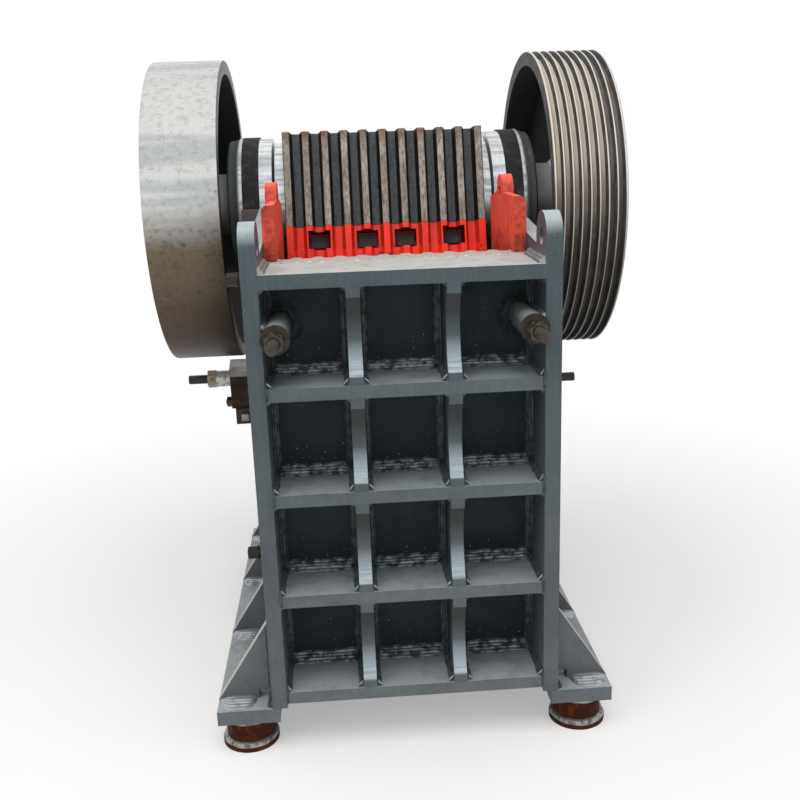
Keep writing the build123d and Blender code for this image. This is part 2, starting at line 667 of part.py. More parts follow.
seat_points = [
    (AXIS_Y - SEAT_TIP, AXIS_Z + SEAT_RISE),
    (AXIS_Y - SEAT_FRONT, AXIS_Z - SEAT_SIDE),
    (AXIS_Y - SEAT_BASE, AXIS_Z - SEAT_DROP),
    (AXIS_Y + SEAT_BASE, AXIS_Z - SEAT_DROP),
    (AXIS_Y + SEAT_REAR, AXIS_Z - SEAT_SIDE),
    (AXIS_Y + SEAT_TIP, AXIS_Z + SEAT_RISE),
]
seat_block = side_plate(seat_points, HALF_W, FLANGE_OUT - 5)
seat_block -= x_rod(FLANGE_R + SEAT_GAP, HALF_W - 5, FLANGE_OUT + 5, AXIS_Y, AXIS_Z)
save("bearing_seats", pack_node(seat_block, mirrored(seat_block)))

# Tie bolts
sleeves = []
washers = []
nuts = []
rods = []
washer_y = -SLEEVE_FRONT - WASHER_W
for side in (-1, 1):
    x = side * TIE_X
    hollow = y_rod(TIE_R + 4, x, TIE_Z, -40, BACK_Y + 5)
    sleeves.append(y_rod(SLEEVE_R, x, TIE_Z, -SLEEVE_FRONT, BACK_Y) - hollow)
    washer = y_rod(WASHER_R, x, TIE_Z, washer_y, -SLEEVE_FRONT)
    washers.append(washer - y_rod(TIE_R + 0.5, x, TIE_Z, -40, 0))
    for y in (washer_y, washer_y - TIE_NUT_W - 0.5):
        hexagon = Plane.XZ.offset(-y) * Pos(x, TIE_Z) * RegularPolygon(TIE_NUT_R, 6)
        nut = extrude(hexagon, amount=TIE_NUT_W, dir=(0, -1, 0))
        nuts.append(nut - y_rod(TIE_R, x, TIE_Z, -80, 0))
    rods.append(y_rod(TIE_R, x, TIE_Z, -TIE_REACH, JAW_SEAT_Y + TIE_DEPTH))
save("tie_sleeves", pack_node(*sleeves))
save("tie_washers", pack_node(*washers))
save("tie_nuts", pack_node(*nuts))
save("tie_rods", pack_node(*rods))

# Eccentric shaft
half_profile = [
    (BARREL_END, JOURNAL_R),
    (HUB_IN, JOURNAL_R),
    (HUB_IN, SEAT_R),
    (HUB_OUT, SEAT_R),
    (HUB_OUT, NUT_R),
    (SHAFT_END, NUT_R),
    (SHAFT_END, 0),
]
other_half = [(-x, r) for x, r in reversed(half_profile)]
shaft = turned(other_half + half_profile, AXIS_Y, AXIS_Z)
shaft += x_rod(ECC_R, -BARREL_END + 2, BARREL_END - 2, axis_y, axis_z)
save("eccentric_shaft", shaft)

# Flywheel and belt pulley: each has a rim, and a centre made of hub and web
rim_out = WHEEL_IN + WHEEL_W
web_out = WEB_IN + WEB_T
rim_sides = [
    (rim_out, RIM_R),
    (rim_out, WHEEL_R - RIM_CHAMFER),
    (rim_out - RIM_CHAMFER, WHEEL_R),
]
rim_end = [
    (WHEEL_IN + RIM_CHAMFER, WHEEL_R),
    (WHEEL_IN, WHEEL_R - RIM_CHAMFER),
    (WHEEL_IN, RIM_R),
]
flywheel_rim = turned(rim_sides + rim_end, AXIS_Y, AXIS_Z)
save("flywheel_rim", mirrored(flywheel_rim))
groove_top = GROOVE_PITCH - GROOVE_LAND
groove_floor = groove_top - 2 * GROOVE_DEPTH * math.tan(math.radians(18))
first = WHEEL_IN + (WHEEL_W - (GROOVES - 1) * GROOVE_PITCH) / 2
groove_points = []
for k in range(GROOVES):
    c = first + k * GROOVE_PITCH
    groove_points.append((c - groove_top / 2, WHEEL_R))
    groove_points.append((c - groove_floor / 2, WHEEL_R - GROOVE_DEPTH))
    groove_points.append((c + groove_floor / 2, WHEEL_R - GROOVE_DEPTH))
    groove_points.append((c + groove_top / 2, WHEEL_R))
pulley_rim = turned(rim_sides + list(reversed(groove_points)) + rim_end, AXIS_Y, AXIS_Z)
save("pulley_rim", pulley_rim)
centre_profile = [
    (HUB_IN, SEAT_R),
    (HUB_OUT, SEAT_R),
    (HUB_OUT, HUB_R - 4),
    (HUB_OUT - 4, HUB_R),
    (web_out + 10, HUB_R),
    (web_out, HUB_R + 10),
    (web_out, RIM_R - SEAT_GAP),
    (WEB_IN, RIM_R - SEAT_GAP),
    (WEB_IN, HUB_R + 10),
    (WEB_IN - 10, HUB_R),
    (HUB_IN, HUB_R),
]
centre = turned(centre_profile, AXIS_Y, AXIS_Z)
save("flywheel_centre", mirrored(centre))
save("pulley_centre", centre)
end_nut = x_rod(NUT_OUT_R, HUB_OUT + SEAT_GAP, HUB_OUT + NUT_W, AXIS_Y, AXIS_Z)
end_nut -= x_rod(NUT_R, HUB_OUT - 5, SHAFT_END + 5, AXIS_Y, AXIS_Z)
save("shaft_nuts", pack_node(end_nut, mirrored(end_nut)))
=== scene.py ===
"""Looks of the jaw crusher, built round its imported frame.

Sizes are in millimetres, as in the part's source: X along the shaft, Z up from the floor, and Y
counted from the front plane of the side walls. place() turns them into the frame's metres.
"""

import logging
import math
from collections.abc import Sequence
from dataclasses import dataclass, field
from enum import Enum
from typing import Any, ClassVar

import bmesh
import bpy
import numpy as np
from mathutils import Matrix, Vector


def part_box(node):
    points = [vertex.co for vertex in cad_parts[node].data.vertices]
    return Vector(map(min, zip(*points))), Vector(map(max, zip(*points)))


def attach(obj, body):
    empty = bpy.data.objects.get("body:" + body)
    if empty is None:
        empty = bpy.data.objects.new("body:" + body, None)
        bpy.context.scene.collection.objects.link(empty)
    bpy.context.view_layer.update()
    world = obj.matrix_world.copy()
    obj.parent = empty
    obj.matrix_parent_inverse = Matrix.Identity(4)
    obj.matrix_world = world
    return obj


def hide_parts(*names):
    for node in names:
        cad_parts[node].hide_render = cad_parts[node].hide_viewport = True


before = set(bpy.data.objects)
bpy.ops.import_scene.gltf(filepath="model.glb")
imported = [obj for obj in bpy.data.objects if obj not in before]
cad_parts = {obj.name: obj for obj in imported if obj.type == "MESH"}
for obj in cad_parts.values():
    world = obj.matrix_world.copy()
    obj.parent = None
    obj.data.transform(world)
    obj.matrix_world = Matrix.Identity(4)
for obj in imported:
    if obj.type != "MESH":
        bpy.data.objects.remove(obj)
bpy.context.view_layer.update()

LOG = logging.getLogger("crusher")
FRONT_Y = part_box("side_wall_left")[0].y * 1000.0
Node = bpy.types.NodeSocket
Tree = bpy.types.NodeTree


class Body(Enum):
    """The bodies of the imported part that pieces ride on."""

    FRAME = "frame"
    ROTOR = "rotor"
    JAW = "swing_jaw"


class Seat(Enum):
    """How a weld bead sits: in the corner of two plates, or flat on one surface."""

    CORNER = "corner"
    FLAT = "flat"


@dataclass(frozen=True)
class Sizes:
    """Main sizes of the frame, the same as in the part's source."""

    inner: float = 238.5
    half: float = 266.5
    back: float = 118.0
    length: float = 870.0
    flange_top: float = 890.0
    flange_low: float = 865.0
    rib_t: float = 23.0
    rib_tops: tuple[float, ...] = (697.0, 506.0, 314.0, 121.0)
    stiff_x: float = 84.0
    stiff_t: float = 24.0
    foot_top: float = 89.0
    foot_out: float = 369.0
    axis_y: float = 690.0
    axis_z: float = 944.0
    ecc: float = 10.0
    wheel_in: float = 333.0
    wheel_out: float = 483.5
    wheel_r: float = 328.5
    rim_r: float = 298.5


SIZE = Sizes()


def linear(code: str) -> tuple[float, float, float, float]:
    """Turns an sRGB hex colour into linear RGBA.

    Args:
        code: a colour such as "#4b585c".

    Returns:
        Red, green, blue and 1.
    """
    values = [int(code[i : i + 2], 16) / 255.0 for i in (1, 3, 5)]
    parts = [v / 12.92 if v <= 0.04045 else ((v + 0.055) / 1.055) ** 2.4 for v in values]
    return (parts[0], parts[1], parts[2], 1.0)


def place(points: np.ndarray) -> np.ndarray:
    """Turns millimetres from the front plane into metres in the frame."""
    return (np.asarray(points, float) + (0.0, FRONT_Y, 0.0)) / 1000.0


def add(tree: Tree, kind: str, settings: dict[str | int, Any] | None = None, out: str | int = 0) -> Node:
    """Adds one shader node with its settings and links.

    Args:
        tree: the node tree of a material or of the world.
        kind: the node's type without its ShaderNode prefix.
        settings: by property name, input name or input number: a value, or a socket to link.
        out: the output to give back.

    Returns:
        That output of the new node.
    """
    node = tree.nodes.new("ShaderNode" + kind)
    for key, value in (settings or {}).items():
        if isinstance(key, str) and key not in node.inputs:
            setattr(node, key, value)
        elif isinstance(value, bpy.types.NodeSocket):
            tree.links.new(value, node.inputs[key])
        else:
            node.inputs[key].default_value = value
    return node.outputs[out] if len(node.outputs) else None


def patches(
    tree: Tree,
    size: float,
    low: float,
    high: float,
    stretch: tuple[float, float, float] = (1.0, 1.0, 1.0),
    detail: float = 4.0,
    seed: float = 0.0,
) -> Node:
    """A mask of soft patches: fractal noise on Object coordinates, cut between two levels.

    Args:
        tree: the material's node tree.
        size: width of a patch in millimetres.
        low: noise level where the mask is 0.
        high: noise level where the mask is 1.
        stretch: how many times longer a patch is along X, Y and Z.
        detail: octaves of finer noise.
        seed: shift of the pattern, so that two masks differ.

    Returns:
        The mask, 0 to 1.
    """
    spread = [1000.0 / (size * s) for s in stretch]
    spot = add(
        tree,
        "Mapping",
        {"Vector": add(tree, "TexCoord", out="Object"), "Scale": spread, "Location": (seed, seed, seed)},
    )
    noise = add(tree, "TexNoise", {"Vector": spot, "Scale": 1.0, "Detail": detail, "Roughness": 0.6})
    return add(tree, "MapRange", {"Value": noise, "From Min": low, "From Max": high})


def span(tree: Tree, axis: str, start: float, end: float) -> Node:
    """A mask that rises from 0 to 1 between two places along an axis.

    Args:
        tree: the material's node tree.
        axis: X, Y or Z.
        start: place in mm where the mask is 0, Y counted from the front plane.
        end: place in mm where it is 1.

    Returns:
        The mask, 0 to 1.
    """
    shift = FRONT_Y if axis == "Y" else 0.0
    value = add(tree, "SeparateXYZ", {0: add(tree, "TexCoord", out="Object")}, axis)
    limits = {"From Min": (start + shift) / 1000.0, "From Max": (end + shift) / 1000.0}
    return add(tree, "MapRange", {"Value": value, **limits})


def facing(tree: Tree, axis: str, start: float, end: float) -> Node:
    """A mask that rises as the surface turns towards an axis, between two cosines."""
    value = add(tree, "SeparateXYZ", {0: add(tree, "NewGeometry", out="Normal")}, axis)
    return add(tree, "MapRange", {"Value": value, "From Min": start, "From Max": end})


def sideways(tree: Tree, start: float, end: float) -> Node:
    """A mask of the faces that turn towards X or away from it, between two cosines."""
    right, left = facing(tree, "X", start, end), facing(tree, "X", -start, -end)
    return add(tree, "Math", {"operation": "MAXIMUM", 0: right, 1: left})


def times(tree: Tree, *masks: Node | float) -> Node:
    """The product of masks, worked out two at a time.

    Args:
        tree: the material's node tree.
        masks: the masks or numbers to multiply, at least one.

    Returns:
        Their product.
    """
    total = masks[0]
    for mask in masks[1:]:
        total = add(tree, "Math", {"operation": "MULTIPLY", 0: total, 1: mask})
    return total


def blend(tree: Tree, share: Node, under: Any, over: Any) -> Node:
    """Mixes two colours, each a linear RGBA or a socket, by a share from 0 to 1."""
    return add(tree, "Mix", {"data_type": "RGBA", 0: share, 6: under, 7: over}, 2)


def layered(tree: Tree, base: str | Node, layers: Sequence[tuple[Node, str, float]]) -> Node:
    """Lays colours over a base, each by its own mask.

    Args:
        tree: the material's node tree.
        base: hex colour, or a colour socket, of the lowest layer.
        layers: mask, hex colour and strength of each layer, lowest first.

    Returns:
        The colour of the finished stack.
    """
    colour: Any = linear(base) if isinstance(base, str) else base
    for mask, code, strength in layers:
        share = add(tree, "Math", {"operation": "MULTIPLY", 0: mask, 1: strength})
        colour = blend(tree, share, colour, linear(code))
    return colour


def edges(tree: Tree, radius: float, ragged: float = 0.5) -> tuple[Node, Node]:
    """Finds the edges of the solid, for wear and for a rounded look.

    Args:
        tree: the material's node tree.
        radius: how far the rounding reaches from an edge, in mm.
        ragged: how much patches of noise break the wear up, 0 to 1.

    Returns:
        The mask of worn edges, and the rounded normal.
    """
    rounded = add(tree, "Bevel", {"samples": 4, "Radius": radius / 1000.0})
    plain = add(tree, "NewGeometry", out="Normal")
    turn = add(tree, "VectorMath", {"operation": "DOT_PRODUCT", 0: rounded, 1: plain}, "Value")
    worn = add(tree, "MapRange", {"Value": turn, "From Min": 0.99, "From Max": 0.88})
    broken = patches(tree, 14.0, 0.62 - 0.3 * (1.0 - ragged), 0.36 - 0.3 * (1.0 - ragged))
    return times(tree, worn, broken), rounded


def relief(tree: Tree, normal: Node | None, heights: Sequence[tuple[Node, float]]) -> Node | None:
    """Stacks bumps on top of a normal.

    Args:
        tree: the material's node tree.
        normal: the normal to start from, or None for the surface's own.
        heights: masks, and the height in mm where each is 1.

    Returns:
        The bumped normal, or the one given where there are no heights.
    """
    for mask, height in heights:
        settings: dict[str | int, Any] = {"Height": mask, "Distance": height / 1000.0, "Strength": 1.0}
        if normal is not None:
            settings["Normal"] = normal
        normal = add(tree, "Bump", settings)
    return normal


def close(
    tree: Tree,
    colour: Node,
    rough: Node | float,
    metal: Node | float,
    normal: Node | None,
    mirror: float = 0.5,
) -> None:
    """Ends a material in a Principled shader.

    Args:
        tree: the material's node tree.
        colour: base colour.
        rough: roughness.
        metal: how metallic it is.
        normal: bumped normal, or None.
        mirror: how strongly paint or rust mirrors, the same all over; soot mirrors little.
    """
    settings: dict[str | int, Any] = {"Base Color": colour, "Roughness": rough, "Metallic": metal}
    settings["Specular IOR Level"] = mirror
    if normal is not None:
        settings["Normal"] = normal
    add(tree, "OutputMaterial", {"Surface": add(tree, "BsdfPrincipled", settings)})


def mixed(tree: Tree, mask: Node, low: float, high: float) -> Node:
    """A number that goes from low to high with a mask."""
    return add(tree, "MapRange", {"Value": mask, "To Min": low, "To Max": high})


def polar(tree: Tree, axis_z: float) -> tuple[Node, Node]:
    """Distance from the shaft's line, and place along it, both in mm.

    Args:
        tree: the material's node tree.
        axis_z: height of that line.

    Returns:
        The radius and the distance from the machine's middle.
    """
    middle = (0.0, -(SIZE.axis_y + FRONT_Y) / 1000.0, -axis_z / 1000.0)
    spot = add(tree, "Mapping", {"Vector": add(tree, "TexCoord", out="Object"), "Location": middle})
    scaled = add(tree, "VectorMath", {"operation": "SCALE", 0: spot, "Scale": 1000.0})
    across = add(tree, "VectorMath", {"operation": "MULTIPLY", 0: scaled, 1: (0.0, 1.0, 1.0)})
    radius = add(tree, "VectorMath", {"operation": "LENGTH", 0: across}, "Value")
    along = add(tree, "Math", {"operation": "ABSOLUTE", 0: add(tree, "SeparateXYZ", {0: scaled}, "X")})
    return radius, along


def between(tree: Tree, value: Node, start: float, end: float) -> Node:
    """A mask that rises from 0 to 1 while a number goes from start to end."""
    return add(tree, "MapRange", {"Value": value, "From Min": start, "From Max": end})


class Finish:
    """A finish that makes its material the first time it is asked for."""

    made: ClassVar[dict[str, bpy.types.Material]] = {}
    name: str

    def shade(self, tree: Tree) -> None:
        """Fills the material's node tree."""
        raise NotImplementedError

    def material(self) -> bpy.types.Material:
        """The material of this finish, made once.

        Returns:
            The same material each time.
        """
        if self.name not in Finish.made:
            material = bpy.data.materials.new(self.name)
            material.use_nodes = True
            material.node_tree.nodes.clear()
            self.shade(material.node_tree)
            Finish.made[self.name] = material
        return Finish.made[self.name]


@dataclass(frozen=True)
class SatinPaint(Finish):
    """Blue-grey machine enamel, sprayed on mill plate: a satin skin, paler where it lies flat, from dust and
    from painted light.

    The eye reads a cool grey with cloudy darker and warmer places, thin vertical runs, and pale
    rubbed edges. Lower plates are warmer and duller than high ones.
    """

    name: str = "satin_paint"
    high: str = "#4b585c"
    low: str = "#5b6165"
    flat_high: str = "#5d686c"
    flat_low: str = "#7b7f83"
    flat: float = 0.85
    flat_from: tuple[float, float] = (0.55, 0.95)
    cloud: str = "#353e42"
    wear: str = "#a3a9aa"
    wear_share: float = 0.55
    rough: float = 0.46
    inside: str = "#171b1e"
    recess_shade_share: float = 0.0
    cut_lines_and_light: float = 0.0
    mirror: float = 0.5

    def shade(self, tree: Tree) -> None:
        """Height gradient, clouds, runs, pale flat tops of dust and painted light, painted shade in the
        cells, rubbed edges, and cut faces painted light above and painted shade below, with cut lines.

        Args:
            tree: the material's node tree.
        """
        rise = span(tree, "Z", 150.0, 840.0)
        tall = blend(tree, rise, linear(self.low), linear(self.high))
        # Faces that turn up are painted paler: dust, and painted light from above.
        top = facing(tree, "Z", *self.flat_from)
        top_dust_and_light = layered(tree, self.flat_low, [(rise, self.flat_high, 1.0)])
        worn, rounded = edges(tree, 2.2)
        runs = patches(tree, 5.0, 0.45, 0.75, (1.0, 1.0, 22.0), 3.0)
        cloudy = patches(tree, 95.0, 0.42, 0.72, seed=3.1)
        specks = patches(tree, 4.5, 0.66, 0.74, detail=2.0, seed=7.7)
        colour = layered(tree, tall, [(cloudy, self.cloud, 0.4), (runs, "#6d7679", 0.16)])
        share = add(tree, "Math", {"operation": "MULTIPLY", 0: top, 1: self.flat})
        colour = blend(tree, share, colour, top_dust_and_light)
        layers = [(patches(tree, 30.0, 0.5, 0.75, seed=1.3), self.cloud, 0.35), (specks, "#8d9394", 0.3)]
        if self.recess_shade_share:
            # Painted shade in the cells: all but the upward faces darken from the front towards the back
            # plate, between the side walls.
            recess_shade = times(tree, span(tree, "Y", 4.0, 84.0), span(tree, "X", 239.2, 238.9))
            recess_shade = times(tree, recess_shade, span(tree, "X", -239.2, -238.9), facing(tree, "Z", 0.8, 0.5))
            layers.append((recess_shade, self.inside, self.recess_shade_share))
            # Painted shade on the upward faces towards the back plate.
            rear_top_shade = times(tree, span(tree, "Y", 30.0, 118.0), top)
            layers.append((rear_top_shade, "#3d4347", 0.15))
        if self.cut_lines_and_light:
            # Front faces that turn up are painted pale, as bare cut face and painted light; those that turn
            # down are painted near black as painted shade. The cut lines lie in the pale part.
            lines = patches(tree, 2.6, 0.42, 0.62, (30.0, 1.0, 1.0), 2.0, 5.0)
            front = facing(tree, "Y", -0.2, -0.6)
            pale = times(tree, facing(tree, "Z", 0.06, 0.46), front)
            layers.append((times(tree, facing(tree, "Z", 0.1, -0.3), front), "#151718", 0.92))
            layers.append((pale, "#b2bfc8", self.cut_lines_and_light))
            layers.append((times(tree, lines, pale), "#77848c", 0.75))
        layers.append((worn, self.wear, self.wear_share))
        colour = layered(tree, colour, layers)
        skin = patches(tree, 3.0, 0.2, 0.8, detail=3.0, seed=9.0)
        normal = relief(tree, rounded, [(cloudy, 0.5), (skin, 0.12), (specks, 0.25)])
        rough = mixed(tree, cloudy, self.rough - 0.06, self.rough + 0.14)
        close(tree, colour, rough, mixed(tree, worn, 0.0, 0.5), normal, self.mirror)


@dataclass(frozen=True)
class BareSteel(Finish):
    """Ground mild steel left bare: a light, slightly warm grey with thin rust bloom and scuffs."""

    name: str = "bare_steel"
    base: str = "#c3c4c0"
    bloom: str = "#a79c90"
    dark: str = "#6d6a66"
    rough: float = 0.5
    metal: float = 0.55

    def shade(self, tree: Tree) -> None:
        """Bloom patches, scratches across and rubbed edges.

        Args:
            tree: the material's node tree.
        """
        worn, rounded = edges(tree, 1.6, 0.2)
        bloom = patches(tree, 40.0, 0.48, 0.72, seed=2.0)
        scratch = patches(tree, 1.6, 0.6, 0.72, (18.0, 1.0, 1.0), 2.0, 4.0)
        dirt = patches(tree, 16.0, 0.58, 0.74, seed=6.0)
        layers = [(bloom, self.bloom, 0.6), (dirt, self.dark, 0.5), (scratch, self.dark, 0.3)]
        layers.append((worn, "#efefec", 0.7))
        colour = layered(tree, self.base, layers)
        normal = relief(tree, rounded, [(scratch, 0.08), (dirt, 0.15)])
        close(tree, colour, mixed(tree, bloom, self.rough - 0.1, self.rough + 0.15), self.metal, normal)


@dataclass(frozen=True)
class TurnedSteel(Finish):
    """Cast iron or steel faced on a lathe: fine rings, handling scratches, pits, storage rust and painted
    reflections.

    The eye reads a clean pale metal above, with broad bluish bands that are painted reflections, and
    below a set height a brown layer that thickens downwards: storage rust, and a painted reflection of
    a dark floor. The tool marks are about 0.3 mm apart in life and are drawn some 2 mm apart, so that
    they show. What lies outside the turned part keeps its dark coat, and the bore's upward faces are
    painted pale: dust, and painted light.
    """

    name: str = "turned_steel"
    base: str = "#c9cbcb"
    reflection_band: str = "#9aa4aa"
    reflection_band_share: float = 0.5
    reflection_band_width: float = 46.0
    rust_film_and_reflection: str = "#66563f"
    rust: str = "#40322a"
    damp_top: float = 985.0
    damp_line: float = 895.0
    damp_low: float = 690.0
    rust_film_and_reflection_share: float = 0.93
    line: str = "#7e7f7e"
    line_share: float = 0.22
    smudge: str = "#a79f92"
    smudge_share: float = 0.25
    low_smudge: str = "#3a3026"
    blot_share: float = 0.0
    side: str = "#4c4e4d"
    side_share: float = 0.0
    coat: str = "#2b2d2e"
    coat_radius: float = 0.0
    coat_along: float = 0.0
    coat_end: float = 1000.0
    inside_r: float = 0.0
    inside: str = "#121313"
    dust: str = "#b9b3a8"
    rough: float = 0.34
    metal: float = 0.85
    axis_z: float = SIZE.axis_z

    def coated(self, tree: Tree, radius: Node, along: Node) -> Node | None:
        """Mask of the coated part.

        Args:
            tree: the material's node tree.
            radius: distance from the shaft's line in mm.
            along: distance from the machine's middle in mm.

        Returns:
            The mask, or None where all is bare.
        """
        if self.coat_radius:
            return between(tree, radius, self.coat_radius, self.coat_radius + 0.3)
        if self.coat_along:
            begun = between(tree, along, self.coat_along, self.coat_along + 0.1)
            return times(tree, begun, between(tree, along, self.coat_end + 0.1, self.coat_end))
        return None

    def shade(self, tree: Tree) -> None:
        """Painted reflection bands, a brown layer low down of rust and painted reflection, rings by radius
        and X, smudges, scratches, side faces and coat.

        Args:
            tree: the material's node tree.
        """
        radius, along = polar(tree, self.axis_z)
        ring = add(tree, "CombineXYZ", {0: along, 1: radius})
        marks = add(tree, "TexNoise", {"Vector": ring, "Scale": 0.5, "Detail": 3.0})
        tool = between(tree, marks, 0.42, 0.68)
        scratch = patches(tree, 1.5, 0.64, 0.72, (1.0, 14.0, 14.0), 2.0, 8.0)
        crossed = patches(tree, 1.6, 0.66, 0.73, (16.0, 3.0, 3.0), 2.0, 18.0)
        smudge = patches(tree, 11.0, 0.5, 0.66, (1.2, 1.0, 1.0), 9.0, 4.0)
        blots = patches(tree, 20.0, 0.66, 0.7, (1.5, 1.0, 1.0), 8.0, 24.0)
        pits = patches(tree, 3.2, 0.69, 0.73, detail=2.0, seed=14.0)
        worn, rounded = edges(tree, 1.2, 0.1)
        # Broad bluish bands round the metal: painted reflections.
        reflection_band = patches(tree, self.reflection_band_width, 0.44, 0.58, (12.0, 1.2, 1.0), 2.0, 11.0)
        # Below the line the metal turns brown and darker downwards: storage rust, and a painted reflection
        # of a dark floor.
        edge = patches(tree, 34.0, 0.0, 0.3, (8.0, 1.0, 1.0), 3.0, 13.0)
        rust_film_and_reflection = times(tree, span(tree, "Z", self.damp_top, self.damp_line), edge)
        layers = [(reflection_band, self.reflection_band, self.reflection_band_share), (rust_film_and_reflection, self.rust_film_and_reflection, self.rust_film_and_reflection_share)]
        layers.append((span(tree, "Z", self.damp_line, self.damp_low), self.rust, self.rust_film_and_reflection_share))
        # Smudges are light above the axis and dark below it, partly a painted reflection as the brown is.
        high = times(tree, smudge, span(tree, "Z", 930.0, 990.0))
        low = times(tree, smudge, span(tree, "Z", 990.0, 930.0))
        layers += [(high, self.smudge, self.smudge_share), (low, self.low_smudge, self.smudge_share)]
        layers += [(tool, self.line, self.line_share), (blots, "#2b241d", self.blot_share)]
        clean = times(tree, scratch, span(tree, "Z", 940.0, 1000.0))
        layers += [(clean, "#f4f4f2", 0.3), (crossed, "#5a564f", 0.35), (pits, "#3f3a34", 0.7)]
        if self.side_share:
            layers.append((sideways(tree, 0.3, 0.9), self.side, self.side_share))
        layers.append((worn, "#d9dada", 0.6))
        dull: Node | float = mixed(tree, smudge, self.rough, self.rough + 0.12)
        metal: Node | float = self.metal
        coat = self.coated(tree, radius, along)
        if coat is not None:
            layers.append((coat, self.coat, 1.0))
            layers.append((times(tree, coat, patches(tree, 24.0, 0.5, 0.7, seed=21.0)), "#4a4c4b", 0.5))
            layers.append((times(tree, coat, worn), "#6a6b68", 0.6))
            metal = mixed(tree, coat, self.metal, 0.0)
            dull = mixed(tree, coat, self.rough, 0.72)
        colour = layered(tree, self.base, layers)
        if self.inside_r:
            bore = between(tree, radius, self.inside_r + 0.6, self.inside_r + 0.1)
            # The bore's upward faces are painted pale: dust, and painted light.
            inner = layered(tree, self.inside, [(facing(tree, "Z", 0.5, 0.95), self.dust, 0.7)])
            colour = blend(tree, bore, colour, inner)
            metal = mixed(tree, bore, self.metal, 0.0)
            dull = mixed(tree, bore, self.rough, 0.75)
        normal = relief(tree, rounded, [(tool, 0.015), (pits, -0.2)])
        close(tree, colour, dull, metal, normal)


@dataclass(frozen=True)
class BeltPulley(Finish):
    """Grooved cast-iron rim: polished lands, a painted shade on the flanks beside them, dusty beige floors,
    and darker brown low down.

    Each zone is told from its distance to the shaft's line, as the belts leave it.
    """

    name: str = "belt_pulley"
    land: str = "#e6e0d6"
    flank_shade: str = "#1d1a18"
    floor: str = "#c9bba9"
    far_floor: str = "#55534f"
    low: str = "#332b23"
    side: str = "#3c3d3f"
    inside: str = "#191a1a"
    land_r: float = 326.9
    flank_shade_r: float = 324.6
    inner_r: float = 300.0
    far_x: float = 444.0

    def shade(self, tree: Tree) -> None:
        """Radius zones, streaks round the rim, darker brown low down and bright edges.

        Args:
            tree: the material's node tree.
        """
        radius, along = polar(tree, SIZE.axis_z)
        streak = patches(tree, 2.6, 0.42, 0.7, (1.0, 24.0, 24.0), 5.0, 2.0)
        cloud = patches(tree, 40.0, 0.42, 0.66, seed=5.0)
        rust = patches(tree, 22.0, 0.5, 0.68, (1.0, 2.0, 2.0), 6.0, 9.0)
        far = between(tree, along, self.far_x - 1.0, self.far_x + 1.0)
        layers = [(streak, "#8a7d70", 0.5), (cloud, "#c0b6a9", 0.35), (far, self.far_floor, 0.85)]
        layers += [(times(tree, far, rust), "#5a3324", 0.7)]
        # Painted shade: the flanks are darkened for the last 2 mm below each land.
        layers += [(between(tree, radius, self.flank_shade_r, self.flank_shade_r + 2.0), self.flank_shade, 0.9)]
        # Darker brown towards the bottom, in patches and then all over.
        darker_below = times(tree, span(tree, "Z", 1060.0, 880.0), patches(tree, 60.0, 0.1, 0.5))
        layers += [(darker_below, self.low, 0.9)]
        layers += [(between(tree, radius, self.land_r, self.land_r + 0.5), self.land, 0.95)]
        layers += [(span(tree, "Z", 1020.0, 830.0), "#40372d", 0.75)]
        wall = between(tree, radius, self.inner_r - 0.5, self.inner_r + 0.5)
        flat_side = times(tree, sideways(tree, 0.7, 0.95), wall)
        layers += [(flat_side, self.side, 1.0), (times(tree, flat_side, cloud), "#77787a", 0.35)]
        layers += [(between(tree, radius, self.inner_r, self.inner_r - 0.8), self.inside, 1.0)]
        colour = layered(tree, self.floor, layers)
        shine = between(tree, radius, self.land_r - 0.4, self.land_r)
        close(tree, colour, mixed(tree, shine, 0.7, 0.36), mixed(tree, shine, 0.05, 0.85), None)


@dataclass(frozen=True)
class WheelCasting(Finish):
    """Wheel hub and web: a bright turned hub, its lower half painted shade, and a black painted web with
    oily patches, painted greyer lower down as painted light.
    """

    name: str = "wheel_casting"
    web: str = "#060707"
    lit_low_web: str = "#1d1f1f"
    hub: str = "#c2c3c1"
    hub_r: float = 93.0

    def shade(self, tree: Tree) -> None:
        """Hub told by radius, its lower half darkened as painted shade, and a web painted greyer downwards
        as painted light.

        Args:
            tree: the material's node tree.
        """
        radius, _ = polar(tree, SIZE.axis_z)
        worn, rounded = edges(tree, 2.0, 0.3)
        sand = patches(tree, 3.0, 0.3, 0.7, detail=3.0, seed=1.0)
        oil = patches(tree, 45.0, 0.5, 0.7, seed=2.0)
        # The web is painted greyer downwards: painted light.
        dark = layered(tree, self.web, [(span(tree, "Z", 1110.0, 930.0), self.lit_low_web, 1.0)])
        dark = layered(tree, dark, [(sand, "#2c2d2d", 0.15), (oil, "#050505", 0.4), (worn, "#5c5d5b", 0.6)])
        # The hub's lower half is darkened: painted shade.
        steel = layered(tree, self.hub, [(span(tree, "Z", 960.0, 900.0), "#4a4a48", 0.9)])
        bright = between(tree, radius, self.hub_r, self.hub_r - 0.5)
        colour = blend(tree, bright, dark, steel)
        normal = relief(tree, rounded, [(times(tree, sand, between(tree, radius, 93.0, 95.0)), 0.3)])
        close(tree, colour, mixed(tree, bright, 0.85, 0.4), mixed(tree, bright, 0.0, 0.3), normal, 0.15)


